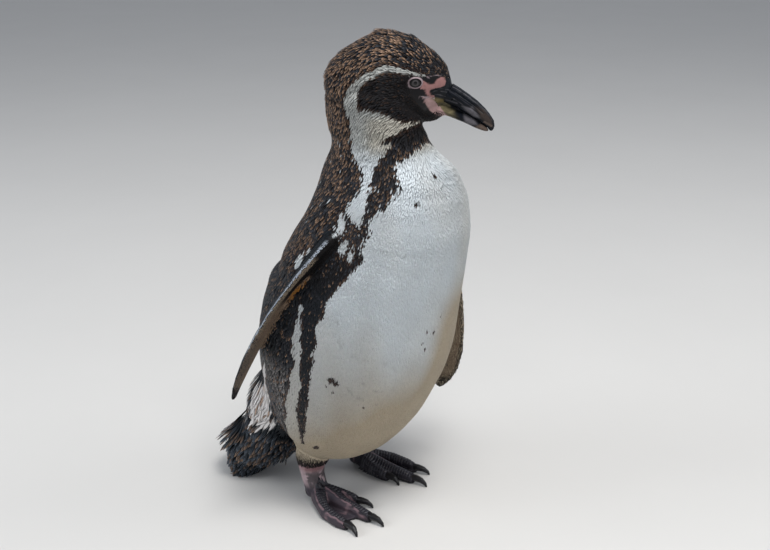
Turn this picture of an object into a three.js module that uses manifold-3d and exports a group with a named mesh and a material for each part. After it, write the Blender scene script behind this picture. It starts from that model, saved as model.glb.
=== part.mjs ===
// A Humboldt penguin standing at rest, life size, as a still model.
// Millimetres, +Z up. The bird faces -Y, its left is +X, and it stands on the floor at Z = 0.
// The flesh is one closed form lofted round a spine, parted by thin level cuts into trunk, neck and head.
// Bill, eyes, flippers, tail, legs, feet and claws are solids of their own, seated against it.
import * as THREE from "three";
import { ParametricGeometry } from "three/addons/geometries/ParametricGeometry.js";
import { mergeVertices } from "three/addons/utils/BufferGeometryUtils.js";
import Module from "manifold-3d";

const wasm = await Module();
wasm.setup();

// ---- driving dimensions ----
const GAP = 0.3; // clearance between neighbouring solids
const HEAD_CENTRE = [0, -30, 472]; // middle of the cranium
const HEAD_TURN = 33; // degrees, to the bird's left
const HEAD_CUT = 432; // level where the head meets the neck
const NECK_CUT = 372; // level where the neck meets the trunk
const EYE_RADIUS = 8;
const EYE_SEAT = [23.5, -29.5, 11]; // middle of the left eye, from the middle of the cranium
const FLIPPER_LENGTH = 230; // shoulder to tip
const LEG_SPACING = 43; // each leg from the bird's middle plane
const BALL = [LEG_SPACING + 1, 33]; // ball of the left foot, where its toes start
const CLAW_REACH = 16; // a claw's tip, beyond the end of its toe
const WEB_THICKNESS = 3.5;
const WEB_DIP = 5; // how far the web's front edge hangs back between two toes

const COAT = { white: 0xd9d4c4, brown: 0x5b4a3e, dark: 0x3a2d25, tail: 0x2a2320, flipper: 0x1c1c20 };
const BARE = { bill: 0x1a1a1c, lowerBill: 0x3a3733, eye: 0x202022, leg: 0x6b5552, foot: 0x252326, claw: 0x151416 };

// ---- working tools ----
const LEFT = [1, 0, 0];
const RIGHT = [-1, 0, 0];
const UP = [0, 0, 1];
const DOWN = [0, 0, -1];
const point = (values) => new THREE.Vector3(...values);
const radians = THREE.MathUtils.degToRad;

// Rises from 0 to 1 over the share `reach` of a loft's length, as a round end does.
function dome(t, reach) {
  if (t >= reach) return 1;
  return Math.sqrt(Math.max(0, 1 - (1 - t / reach) ** 2));
}

// A closed form drawn round a curved spine. A station is [x, y, z, half-width, fore, aft]: the spine's point,
// the reach to either side, and the reach on the section's fore and aft faces. `side` points across the form,
// and the fore face looks along side x spine. `ends` are the shares of the length that the round ends take.
function loft(stations, { side = LEFT, around, along, ends = [0.1, 0.1] }) {
  const spine = new THREE.CatmullRomCurve3(stations.map((s) => point(s.slice(0, 3))));
  const reach = new THREE.CatmullRomCurve3(stations.map((s) => point(s.slice(3, 6))));
  const across = point(side);
  return new ParametricGeometry(
    (u, v, target) => {
      const t = (1 - Math.cos(Math.PI * v)) / 2;
      const tangent = spine.getTangent(t);
      const right = across.clone().addScaledVector(tangent, -across.dot(tangent)).normalize();
      const fore = right.clone().cross(tangent);
      const size = reach.getPoint(t).multiplyScalar(dome(t, ends[0]) * dome(1 - t, ends[1]));
      const turn = 2 * Math.PI * u;
      target
        .copy(spine.getPoint(t))
        .addScaledVector(right, size.x * Math.sin(turn))
        .addScaledVector(fore, Math.cos(turn) * (Math.cos(turn) > 0 ? size.y : size.z));
    },
    around,
    along,
  );
}

// The geometry's own shape with its shared vertices merged and the faces that have no area dropped.
function welded(geometry) {
  const bare = geometry.clone();
  bare.deleteAttribute("normal");
  bare.deleteAttribute("uv");
  const merged = mergeVertices(bare, 1e-3);
  const corners = merged.index.array;
  const kept = [];
  for (let i = 0; i < corners.length; i += 3) {
    const [a, b, c] = corners.slice(i, i + 3);
    if (a !== b && b !== c && c !== a) kept.push(a, b, c);
  }
  return merged.setIndex(kept);
}

function solid(geometry) {
  const closed = welded(geometry);
  return new wasm.Manifold(
    new wasm.Mesh({
      numProp: 3,
      vertProperties: closed.attributes.position.array,
      triVerts: new Uint32Array(closed.index.array),
    }),
  );
}

// The geometry with its surface moved out by the clearance, for cutting a seat round it.
function grown(geometry) {
  const closed = welded(geometry);
  closed.computeVertexNormals();
  const { position, normal } = closed.attributes;
  for (let i = 0; i < position.count; i++) {
    position.setXYZ(
      i,
      position.getX(i) + GAP * normal.getX(i),
      position.getY(i) + GAP * normal.getY(i),
      position.getZ(i) + GAP * normal.getZ(i),
    );
  }
  closed.deleteAttribute("normal");
  return closed;
}

function geometryOf(manifold) {
  const { vertProperties, triVerts, numProp } = manifold.getMesh();
  const count = vertProperties.length / numProp;
  const positions = new Float32Array(count * 3);
  for (let i = 0; i < count; i++) {
    positions.set(vertProperties.subarray(i * numProp, i * numProp + 3), i * 3);
  }
  const geometry = new THREE.BufferGeometry();
  geometry.setAttribute("position", new THREE.BufferAttribute(positions, 3));
  return geometry.setIndex([...triVerts]);
}

const joined = (forms) => forms.map(solid).reduce((a, b) => a.add(b));
const room = (forms) => joined(forms.map(grown));
const onFloor = (manifold) => manifold.trimByPlane(UP, 0);

// The largest of the bodies that a cut leaves.
const largest = (manifold) => manifold.decompose().reduce((a, b) => (a.volume() > b.volume() ? a : b));

const bird = new THREE.Group();
function add(name, manifold, color, roughness) {
  const mesh = new THREE.Mesh(
    geometryOf(largest(manifold)),
    new THREE.MeshStandardMaterial({ color, roughness, metalness: 0 }),
  );
  mesh.name = name;
  bird.add(mesh);
}

// ---- flesh ----
// Trunk and neck: one loft from the vent up to the inside of the cranium.
const trunkForm = loft(
  [
    [0, 53, 57, 43, 36, 44],
    [0, 47, 72, 58, 46, 56],
    [0, 38, 88, 74, 61, 74],
    [0, 28, 110, 87, 77, 86],
    [0, 19, 140, 98, 91, 96],
    [0, 11, 177, 106, 101, 103],
    [0, 1, 215, 108, 104.5, 110],
    [0, -13, 264, 104, 97, 92],
    [0, -23, 313, 94, 95, 86],
    [0, -27, 352, 81, 96, 70],
    [0, -26, 380, 66, 87, 65],
    [-2, -24, 402, 51, 69, 55],
    [-5, -24, 424, 42, 54, 44],
    [-8, -21, 445, 38, 48, 48],
    [-10, -20, 468, 36, 42, 47],
    [-10, -24, 490, 26, 26, 28],
  ],
  { around: 28, along: 29, ends: [0.06, 0.05] },
);

// The head is built facing -Y round its own middle, then turned and set on the neck.
const headPlace = new THREE.Matrix4()
  .makeTranslation(...HEAD_CENTRE)
  .multiply(new THREE.Matrix4().makeRotationZ(radians(HEAD_TURN)));
const onHead = (geometry) => geometry.applyMatrix4(headPlace);

const headForm = onHead(
  loft(
    [
      [0, 56, -6, 18, 19, 27],
      [0, 40, 1, 30, 29.5, 40],
      [0, 20, 7, 34, 40, 45],
      [0, 0, 8, 36.5, 50, 48],
      [0, -18, 8, 34.5, 46, 46],
      [0, -34, 5, 28.5, 38.5, 43],
      [0, -48, 2, 21, 29.5, 34],
      [0, -57, -3, 14.5, 18, 26],
      [0, -62, -7, 10, 10, 16],
    ],
    { side: RIGHT, around: 22, along: 17, ends: [0.12, 0.06] },
  ),
);
const chinForm = onHead(
  loft(
    [
      [0, -4, -14, 26, 10, 24],
      [0, -30, -18, 19, 10, 18],
      [0, -48, -21, 11.5, 8, 13],
      [0, -61, -24, 6, 5, 7],
    ],
    { side: RIGHT, around: 10, along: 6, ends: [0.1, 0.15] },
  ),
);

const fleshForms = [trunkForm, headForm, chinForm];
const flesh = joined(fleshForms);
const fleshRoom = room(fleshForms);
const head = flesh.trimByPlane(UP, HEAD_CUT + GAP);
const neck = flesh.trimByPlane(UP, NECK_CUT + GAP).trimByPlane(DOWN, -HEAD_CUT);
const trunk = flesh.trimByPlane(DOWN, -NECK_CUT);

// ---- eyes: balls set in the sides of the head ----
function eye(sign) {
  const [out, forward, up] = EYE_SEAT;
  return onHead(new THREE.SphereGeometry(EYE_RADIUS, 16, 10).translate(sign * out, forward, up));
}
const eyes = { left: eye(1), right: eye(-1) };

add("trunk", trunk, COAT.white, 0.8);
add("neck", neck, COAT.brown, 0.8);
add("head", head.subtract(room(Object.values(eyes))), COAT.dark, 0.8);
add("eye_left", solid(eyes.left), BARE.eye, 0.1);
add("eye_right", solid(eyes.right), BARE.eye, 0.1);

// ---- bill: the upper half ends in a hook that closes over the lower half ----
const upperBill = onHead(
  loft(
    [
      [0, -46, 0, 12, 11.5, 10],
      [0, -60, -4, 12, 11.5, 10],
      [0, -74, -12, 10.5, 11, 8],
      [0, -88, -20.5, 8, 9.5, 7],
      [0, -99, -29, 5.5, 7.5, 6],
      [0, -106.5, -36, 3.6, 4.6, 5],
      [0, -107.5, -43, 1.5, 1.8, 1.8],
    ],
    { side: RIGHT, around: 16, along: 14, ends: [0.05, 0.06] },
  ),
);
const lowerBill = onHead(
  loft(
    [
      [0, -40, -18, 10.5, 8, 6],
      [0, -56, -20.5, 10, 7, 5],
      [0, -72, -27, 8, 6.5, 3.6],
      [0, -87, -34, 5.5, 5.5, 3.4],
      [0, -98, -39.5, 3.4, 4.4, 2.6],
      [0, -105, -42.5, 2, 1.8, 1.8],
    ],
    { side: RIGHT, around: 12, along: 10, ends: [0.05, 0.1] },
  ),
);
add("bill_upper", solid(upperBill).subtract(fleshRoom), BARE.bill, 0.4);
add("bill_lower", solid(lowerBill).subtract(fleshRoom).subtract(solid(grown(upperBill))), BARE.lowerBill, 0.4);

// ---- flippers: flat blades from the shoulder, swept back towards the tip ----
// A row gives the share of the blade's length, the half-chord, the half-thickness and the chord's set-back.
const BLADE = [
  [0, 16, 10, 0],
  [0.12, 20, 8, 1],
  [0.3, 25, 5.4, 3],
  [0.5, 27, 4.6, 5],
  [0.7, 25, 4.2, 6],
  [0.86, 18, 3.2, 8],
  [0.96, 9, 2.4, 13],
  [1, 4, 2, 17],
];
// `towards` runs from the shoulder to the tip and `chord` from the leading edge to the trailing edge.
// `sweep` swings the blade's outer part back along its chord, after a slight lead nearer the shoulder.
// `bow` lifts the middle of the length off the straight, square to the blade's flat.
const SWEEP_LEAD = 0.25;
const FLIPPERS = {
  right: { shoulder: [-78, -29, 345], towards: [-52, 106, -190], chord: [0.95, 0.31, -0.09], sweep: 0, bow: 11.5 },
  left: { shoulder: [87, -41, 324], towards: [27, -25, -226], chord: [0.1, 1, 0], sweep: 25, bow: 0 },
};
for (const [name, { shoulder, towards, chord, sweep, bow }] of Object.entries(FLIPPERS)) {
  const outward = point(towards).normalize();
  const back = point(chord);
  back.addScaledVector(outward, -back.dot(outward)).normalize();
  const square = back.clone().cross(outward);
  const stations = BLADE.map(([share, half, thick, setBack]) => {
    const middle = point(shoulder)
      .addScaledVector(outward, share * FLIPPER_LENGTH)
      .addScaledVector(back, setBack + sweep * (share ** 3 - SWEEP_LEAD * share))
      .addScaledVector(square, bow * Math.sin(Math.PI * share));
    return [...middle, half, thick, thick];
  });
  const form = loft(stations, { side: back.toArray(), around: 12, along: 16, ends: [0.03, 0.03] });
  add("flipper_" + name, solid(form).subtract(fleshRoom), COAT.flipper, 0.6);
}

// ---- tail: a stiff wedge whose tip rests on the floor behind the feet ----
const tailForm = loft(
  [
    [0, 64, 150, 75, 41, 44],
    [-6, 94, 110, 67, 40, 44],
    [-16, 116, 70, 55, 23, 50],
    [-28, 135, 36, 46, 35, 47],
    [-33, 137, 12, 32, 16, 24],
    [-35, 138, -6, 24, 9, 14],
  ],
  { around: 18, along: 11, ends: [0.1, 0.05] },
);
add("tail", onFloor(solid(tailForm).subtract(fleshRoom)), COAT.tail, 0.9);

// ---- legs: short and stout, from the belly's feathers down to the ball of the foot ----
function leg(sign) {
  const out = (less) => sign * (LEG_SPACING - less);
  return loft(
    [
      [out(4), 38, 70, 26, 24, 28],
      [out(2), 42, 46, 17, 14, 17],
      [out(1), 40, 30, 14, 12, 14],
      [out(0), 34, 14, 13, 12, 14],
      [out(0), 31, 4, 12, 12, 13],
    ],
    { around: 14, along: 8, ends: [0.08, 0.1] },
  );
}

// ---- feet: three forward toes joined by a web, each with a claw ----
// `bow` moves the middle of a toe outward, and the spreads are degrees outward from straight ahead.
const TOES = {
  outer: { length: 72, half: 6.5, bow: 11 },
  middle: { length: 79, half: 7, bow: 0 },
  inner: { length: 52, half: 6, bow: -5 },
};
const SPREADS = {
  right: { outer: 24, middle: 3, inner: -16 },
  left: { outer: 16, middle: 0, inner: -13 },
};

// The line of a toe over the floor, from the ball of the foot, as a function of the reach along it.
function toeLine(sign, spread, { length, bow }) {
  const turn = radians(sign * spread);
  return (reach) => {
    const aside = sign * bow * Math.sin(Math.PI * THREE.MathUtils.clamp(reach / length, 0, 1));
    return [
      sign * BALL[0] + reach * Math.sin(turn) + aside * Math.cos(turn),
      BALL[1] - reach * Math.cos(turn) + aside * Math.sin(turn),
    ];
  };
}

// A toe on its line: each row is the reach, the height of its middle, half-width, and reach up and down.
function toe(line, { length, half }) {
  const rows = [
    [-14, 9, half + 1, 9, 9],
    [0, 12, half + 3, 12, 12],
    [0.35 * length, 8, half, 10, 9],
    [0.7 * length, 5.5, half, 9, 8],
    [0.93 * length, 4.5, half - 0.5, 7.5, 7],
    [length, 4, half - 2, 5, 5],
  ];
  const stations = rows.map(([reach, ...rest]) => [...line(reach), ...rest]);
  return loft(stations, { side: RIGHT, around: 10, along: 8, ends: [0.1, 0.1] });
}

// A claw arches from the end of its toe down to the floor: reach, height and half-thickness.
function claw(line, { length }) {
  const rows = [
    [0.9 * length, 6, 4.6],
    [length + 0.25 * CLAW_REACH, 7.5, 4],
    [length + 0.75 * CLAW_REACH, 5, 2.6],
    [length + CLAW_REACH, -0.3, 0.9],
  ];
  const stations = rows.map(([reach, height, size]) => [...line(reach), height, size, size, size]);
  return loft(stations, { side: RIGHT, around: 8, along: 6, ends: [0.1, 0.1] });
}

// The web, a thin plate between the toes whose front edge dips from toe to toe.
function web({ outer, middle, inner }) {
  const corners = [outer(60), middle(66), inner(46)];
  const dip = (a, b) => [(a[0] + b[0]) / 2, (a[1] + b[1]) / 2 + WEB_DIP];
  const along = (line, reaches) => reaches.map((reach) => new THREE.Vector2(...line(reach)));
  const shape = new THREE.Shape();
  shape.moveTo(...outer(0));
  shape.splineThru(along(outer, [20, 40, 60]));
  shape.quadraticCurveTo(...dip(corners[0], corners[1]), ...corners[1]);
  shape.quadraticCurveTo(...dip(corners[1], corners[2]), ...corners[2]);
  shape.splineThru(along(inner, [30, 15, 0]));
  return new THREE.ExtrudeGeometry(shape, { depth: WEB_THICKNESS, bevelEnabled: false, curveSegments: 4 });
}

for (const [name, sign] of Object.entries({ right: -1, left: 1 })) {
  const legForm = leg(sign);
  const lines = {};
  const toes = [];
  const claws = {};
  for (const [toeName, plan] of Object.entries(TOES)) {
    lines[toeName] = toeLine(sign, SPREADS[name][toeName], plan);
    toes.push(toe(lines[toeName], plan));
    claws[toeName] = claw(lines[toeName], plan);
  }
  const foot = onFloor(joined([web(lines), ...toes]));
  add("leg_" + name, onFloor(solid(legForm).subtract(fleshRoom)), BARE.leg, 0.7);
  add("foot_" + name, foot.subtract(room([legForm, ...Object.values(claws)])), BARE.foot, 0.6);
  for (const [toeName, clawForm] of Object.entries(claws)) {
    add("claw_" + name + "_" + toeName, onFloor(solid(clawForm)), BARE.claw, 0.35);
  }
}

// The origin is on the floor, under the middle of the whole bird.
const extent = new THREE.Box3().setFromObject(bird);
const middle = extent.getCenter(new THREE.Vector3());
bird.position.set(-middle.x, -middle.y, -extent.min.z);

export default bird;
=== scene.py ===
import math

import bmesh
import bpy
import numpy as np
from mathutils import Matrix, Vector
from mathutils.bvhtree import BVHTree
from mathutils.kdtree import KDTree


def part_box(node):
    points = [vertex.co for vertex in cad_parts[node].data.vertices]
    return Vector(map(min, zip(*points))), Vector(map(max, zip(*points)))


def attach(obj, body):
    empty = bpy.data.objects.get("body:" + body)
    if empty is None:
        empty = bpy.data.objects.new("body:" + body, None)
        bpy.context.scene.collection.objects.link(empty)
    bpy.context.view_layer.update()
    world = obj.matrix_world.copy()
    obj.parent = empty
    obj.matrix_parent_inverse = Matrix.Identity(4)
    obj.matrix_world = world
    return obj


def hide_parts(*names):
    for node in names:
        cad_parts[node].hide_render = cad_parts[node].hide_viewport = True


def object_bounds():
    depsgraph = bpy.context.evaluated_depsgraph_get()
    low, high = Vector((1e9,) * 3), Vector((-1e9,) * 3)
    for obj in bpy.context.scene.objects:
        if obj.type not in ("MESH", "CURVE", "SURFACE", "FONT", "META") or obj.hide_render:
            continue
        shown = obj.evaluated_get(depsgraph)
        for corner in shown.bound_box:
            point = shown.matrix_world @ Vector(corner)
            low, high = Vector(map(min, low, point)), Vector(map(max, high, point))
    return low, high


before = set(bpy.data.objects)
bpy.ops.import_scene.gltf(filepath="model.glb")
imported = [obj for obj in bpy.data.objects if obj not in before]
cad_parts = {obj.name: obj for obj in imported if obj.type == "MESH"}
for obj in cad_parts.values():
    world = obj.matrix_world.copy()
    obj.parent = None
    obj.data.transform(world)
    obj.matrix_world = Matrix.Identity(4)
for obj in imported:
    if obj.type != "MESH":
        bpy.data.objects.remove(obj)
cad_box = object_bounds()

# Floor, light and viewpoint
# The model stands on a plain pale floor in soft light from a broad lamp overhead and two weaker
# ones to its sides. It is looked at from its right front, from a little above its head.
EYE_POINT = Vector((-0.816224, -0.581867, 0.6593))
SIGHT = Vector((0.78341, 0.50312, -0.36488))
LENS = 46.75
NEAREST_SEEN = 0.01
FLOOR_COLOUR = (0.64, 0.63, 0.61, 1)
FLOOR_REACH = 6.0
ROOM_COLOUR = (0.86, 0.91, 1.0, 1)
ROOM_STRENGTH = 0.42
PIT_DEPTH = 0.0005
# Each square lamp's name, place, aim, size, power and colour.
LAMPS = (("overhead", (-0.4, -0.7, 2.3), (0, 0, 0.25), 0.9, 44, (1.0, 0.985, 0.965)),
         ("side_fill", (-1.7, 1.8, 1.5), (0, 0, 0.25), 1.3, 25, (0.92, 0.96, 1.0)),
         ("front_fill", (1.4, -2.0, 1.8), (0, 0, 0.35), 1.4, 17, (0.97, 0.985, 1.0)))


def principled(name, roughness, specular):
    """A new material whose nodes are one Principled shader and its output."""
    material = bpy.data.materials.new(name)
    material.use_nodes = True
    shader = material.node_tree.nodes["Principled BSDF"]
    shader.inputs["Roughness"].default_value = roughness
    shader.inputs["Specular IOR Level"].default_value = specular
    return material, material.node_tree.nodes, material.node_tree.links, shader


def math_node(nodes, links, kind, *inputs):
    """One step of arithmetic on numbers or on what other nodes put out."""
    node = nodes.new("ShaderNodeMath")
    node.operation = kind
    for socket, value in zip(node.inputs, inputs):
        if isinstance(value, (int, float)):
            socket.default_value = value
        else:
            links.new(value, socket)
    return node.outputs[0]


def vector_node(nodes, links, kind, first, second):
    """One step of arithmetic on two vectors, of which the second may be plain numbers."""
    node = nodes.new("ShaderNodeVectorMath")
    node.operation = kind
    links.new(first, node.inputs[0])
    if second is not None:
        node.inputs[1].default_value = second
    return node


def shaded(nodes, links, colour, shade):
    """A colour made lighter or darker by a number."""
    node = vector_node(nodes, links, "SCALE", colour, None)
    links.new(shade, node.inputs["Scale"])
    return node.outputs[0]


def pattern_group(name, takes):
    """A new node group that takes these inputs and gives a colour and a height."""
    group = bpy.data.node_groups.new(name, "ShaderNodeTree")
    for label, kind in takes:
        group.interface.new_socket(label, in_out="INPUT", socket_type="NodeSocket" + kind)
    for label, kind in (("Colour", "Color"), ("Height", "Float")):
        group.interface.new_socket(label, in_out="OUTPUT", socket_type="NodeSocket" + kind)
    given = group.nodes.new("NodeGroupInput")
    return group, group.nodes, group.links, given, group.nodes.new("NodeGroupOutput")


def mottle_group():
    """Soft uneven shading and small pits, from one place pattern, for any surface."""
    group, nodes, links, given, out = pattern_group(
        "mottle", (("Colour", "Color"), ("Scale", "Float"), ("Amount", "Float")))
    place = nodes.new("ShaderNodeTexCoord")
    noise = nodes.new("ShaderNodeTexNoise")
    noise.inputs["Detail"].default_value = 6
    noise.inputs["Roughness"].default_value = 0.62
    links.new(place.outputs["Object"], noise.inputs["Vector"])
    links.new(given.outputs["Scale"], noise.inputs["Scale"])
    swing = math_node(nodes, links, "SUBTRACT", noise.outputs["Fac"], 0.5)
    gain = math_node(nodes, links, "MULTIPLY_ADD", swing, given.outputs["Amount"], 1.0)
    links.new(shaded(nodes, links, given.outputs["Colour"], gain), out.inputs["Colour"])
    links.new(noise.outputs["Fac"], out.inputs["Height"])
    return group


MOTTLE = mottle_group()


def pitted(nodes, links, shader, height, strength, distance):
    """Gives a surface small bumps from a pattern of heights."""
    relief = nodes.new("ShaderNodeBump")
    relief.inputs["Strength"].default_value = strength
    relief.inputs["Distance"].default_value = distance
    links.new(height, relief.inputs["Height"])
    links.new(relief.outputs["Normal"], shader.inputs["Normal"])


def mottled(nodes, links, shader, source, scale, amount, bump):
    """Sends a colour through the mottle group to the shader, with its pits as a bump."""
    group = nodes.new("ShaderNodeGroup")
    group.node_tree = MOTTLE
    group.inputs["Scale"].default_value = scale
    group.inputs["Amount"].default_value = amount
    if isinstance(source, tuple):
        group.inputs["Colour"].default_value = source
    else:
        links.new(source, group.inputs["Colour"])
    links.new(group.outputs["Colour"], shader.inputs["Base Color"])
    pitted(nodes, links, shader, group.outputs["Height"], bump, PIT_DEPTH)


def mesh_of(name, shape):
    """The mesh of a finished bmesh, which is freed."""
    mesh = bpy.data.meshes.new(name)
    shape.to_mesh(mesh)
    shape.free()
    return mesh


def shown(name, mesh, material):
    """Puts a finished mesh into the scene at the origin."""
    obj = bpy.data.objects.new(name, mesh)
    bpy.context.scene.collection.objects.link(obj)
    mesh.materials.append(material)
    return obj


floor_shape = bmesh.new()
bmesh.ops.create_grid(floor_shape, x_segments=2, y_segments=2, size=FLOOR_REACH)
floor_mesh = mesh_of("floor", floor_shape)
floor_material, nodes, links, shader = principled("pale_floor", roughness=0.85, specular=0.2)
mottled(nodes, links, shader, FLOOR_COLOUR, scale=3.0, amount=0.06, bump=0.0)
shown("floor", floor_mesh, floor_material)

for name, place, aim, size, power, colour in LAMPS:
    light = bpy.data.lights.new(name, "AREA")
    light.size = size
    light.energy = power
    light.color = colour
    lamp = bpy.data.objects.new(name, light)
    bpy.context.scene.collection.objects.link(lamp)
    lamp.location = place
    lamp.rotation_euler = (Vector(aim) - Vector(place)).to_track_quat("-Z", "Y").to_euler()

world = bpy.data.worlds.new("room")
world.use_nodes = True
world.node_tree.nodes["Background"].inputs["Color"].default_value = ROOM_COLOUR
world.node_tree.nodes["Background"].inputs["Strength"].default_value = ROOM_STRENGTH
bpy.context.scene.world = world
bpy.context.scene.view_settings.view_transform = "Standard"

camera = bpy.data.cameras.new("camera")
camera.lens = LENS
camera.clip_start = NEAREST_SEEN
camera_object = bpy.data.objects.new("camera", camera)
bpy.context.scene.collection.objects.link(camera_object)
camera_object.location = EYE_POINT
camera_object.rotation_euler = SIGHT.to_track_quat("-Z", "Y").to_euler()
bpy.context.scene.camera = camera_object

# Skin
# One skin wraps the whole bird under its feathers and is bare on the face, tarsi and feet. It
# is fused from the solids of the flesh, rounded, and drawn in by the depth of the coat.
FLESH = ("trunk", "neck", "head", "tail", "flipper_left", "flipper_right",
         "leg_left", "leg_right", "foot_left", "foot_right")
FILLERS = ("eye_left", "eye_right", "bill_upper", "bill_lower")
SWELL = 0.0005
SKIN_GRAIN = 0.0013
BROAD_ROUNDS = 600
FINE_ROUNDS = 5
HEAD_ROUNDS = 36
REGION_ROUNDS = 40
SKIN_FACES = 100000
TAIL_ROOT = 84
MM = 0.001

PARTS = FLESH + FILLERS
HEAD, TRUNK, TAIL, WING_L, WING_R, LEG, FOOT, QUILL = range(8)
REGION = {"trunk": TRUNK, "neck": TRUNK, "head": HEAD, "tail": TAIL, "flipper_left": WING_L,
          "flipper_right": WING_R, "leg_left": LEG, "leg_right": LEG, "foot_left": FOOT,
          "foot_right": FOOT, "eye_left": HEAD, "eye_right": HEAD, "bill_upper": HEAD,
          "bill_lower": HEAD}


def middle(node):
    low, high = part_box(node)
    return (low + high) / 2


# The head's own axes: x to its left, y to its back, z up, from a centre behind the eyes.
EYE_SEAT = np.array((23.5, -29.5, 11.0))
head_x = (middle("eye_left") - middle("eye_right")).normalized()
head_y = Vector((0, 0, 1)).cross(head_x)
HEAD_AXES = np.array((head_x, head_y, (0, 0, 1)))
HEAD_CENTRE = (np.array((middle("eye_left") + middle("eye_right")) / 2)
               - (HEAD_AXES.T @ (EYE_SEAT * (0, 1, 1))) * MM)
# The trunk's middle line passes over a point midway between the legs.
LEGS_MIDDLE = np.array((middle("leg_left") + middle("leg_right")) / 2)
LEGS_GROUND = LEGS_MIDDLE * (1, 1, 0)
SPINE_HEIGHT = (60, 88, 140, 215, 264, 313, 352, 380, 402, 424, 468)
SPINE_SHIFT = (14, 0, -19, -37, -51, -61, -65, -64, -62, -62, -58)


def to_head(points):
    """Places in the head's axes, in millimetres."""
    return (points - HEAD_CENTRE) @ HEAD_AXES.T / MM


def from_head(local):
    """Places given in the head's axes, back in the bird's own."""
    return HEAD_CENTRE + (local @ HEAD_AXES) * MM


def round_body(points):
    """Angle from the breast line in degrees, plus to the right, and distance and height in mm."""
    height = points[:, 2] / MM
    across = (points[:, 0] - LEGS_MIDDLE[0]) / MM
    along = (points[:, 1] - LEGS_MIDDLE[1]) / MM - np.interp(height, SPINE_HEIGHT, SPINE_SHIFT)
    return np.degrees(np.arctan2(-across, -along)), np.hypot(across, along), height


def joined_copy(nodes_wanted, swell):
    """The solids' faces in one bmesh, each solid merged edge to edge and swollen a little."""
    whole = bmesh.new()
    owner = []
    for index, node in enumerate(nodes_wanted):
        piece = bmesh.new()
        piece.from_mesh(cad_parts[node].data)
        bmesh.ops.remove_doubles(piece, verts=piece.verts, dist=1e-6)
        piece.normal_update()
        for vertex in piece.verts:
            vertex.co += vertex.normal * swell
        mesh = mesh_of(node, piece)
        whole.from_mesh(mesh)
        owner += [index] * (len(whole.faces) - len(owner))
        bpy.data.meshes.remove(mesh)
    return whole, np.array(owner)


def through(mesh, kind, **settings):
    """The mesh after one modifier, as a new mesh."""
    obj = bpy.data.objects.new("form", mesh)
    bpy.context.scene.collection.objects.link(obj)
    modifier = obj.modifiers.new("work", kind)
    for key, value in settings.items():
        setattr(modifier, key, value)
    graph = bpy.context.evaluated_depsgraph_get()
    made = bpy.data.meshes.new_from_object(obj.evaluated_get(graph))
    bpy.data.objects.remove(obj)
    return made


def values_of(items, what, columns, kind=np.float32):
    """One property of a mesh's vertices, edges or faces, a row for each."""
    found = np.empty(len(items) * columns, kind)
    items.foreach_get(what, found)
    return found.reshape(-1, columns)


def places(mesh):
    return values_of(mesh.vertices, "co", 3).astype(float)


def normals(mesh):
    return values_of(mesh.vertex_normals, "vector", 3).astype(float)


def put_places(mesh, points):
    mesh.vertices.foreach_set("co", points.astype(np.float32).ravel())
    mesh.update()


def rounded(mesh, rounds):
    """Places smoothed so that facets go, and mended so that the form doesn't shrink."""
    once = through(mesh, "SMOOTH", factor=0.5, iterations=rounds)
    twice = through(mesh, "SMOOTH", factor=0.5, iterations=2 * rounds)
    return 2 * places(once) - places(twice)


def smooth_faces(mesh):
    mesh.polygons.foreach_set("use_smooth", np.ones(len(mesh.polygons), bool))


def spread(values, edges, rounds):
    """Values on the vertices, evened out along the edges."""
    count = len(values)
    degree = np.maximum(np.bincount(edges.ravel(), minlength=count), 1)
    for _ in range(rounds):
        columns = []
        for column in values.T:
            total = np.bincount(edges[:, 0], column[edges[:, 1]], count)
            total += np.bincount(edges[:, 1], column[edges[:, 0]], count)
            columns.append(0.5 * column + 0.5 * total / degree)
        values = np.stack(columns, 1)
    return values


def regions_of(points):
    """Which part of the bird each place lies nearest to."""
    found = [PART_OF_FACE[solids_tree.find_nearest(point)[2]] for point in points]
    return np.array([REGION[PARTS[index]] for index in found])


def step(value, start, end):
    """A smooth rise from 0 at start to 1 at end."""
    t = np.clip((value - start) / (end - start), 0, 1)
    return t * t * (3 - 2 * t)


solids, PART_OF_FACE = joined_copy(PARTS, SWELL)
solids_tree = BVHTree.FromBMesh(solids)
skin_mesh = through(mesh_of("rough", solids), "REMESH", mode="VOXEL", voxel_size=SKIN_GRAIN)
skin_places = places(skin_mesh)
skin_region = regions_of(skin_places)
skin_edges = values_of(skin_mesh.edges, "vertices", 2, np.int32)
tail_root = (skin_region == TAIL) & (skin_places[:, 2] > TAIL_ROOT * MM)
broad = ((skin_region == TRUNK) | tail_root) * 1.0
gentle = ((skin_region == HEAD) | (skin_region == TAIL)) * 1.0
share = spread(np.stack((broad, gentle), 1), skin_edges, REGION_ROUNDS)
fine_places = rounded(skin_mesh, FINE_ROUNDS)
head_places = rounded(skin_mesh, HEAD_ROUNDS)
broad_places = rounded(skin_mesh, BROAD_ROUNDS)
broad_share = share[:, :1]
head_share = share[:, 1:] * (1 - broad_share)
skin_places = (broad_places * broad_share + head_places * head_share
               + fine_places * (1 - broad_share - head_share))
put_places(skin_mesh, skin_places)
skin_mesh = through(skin_mesh, "DECIMATE", ratio=SKIN_FACES / (2 * len(skin_mesh.polygons)))

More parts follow.
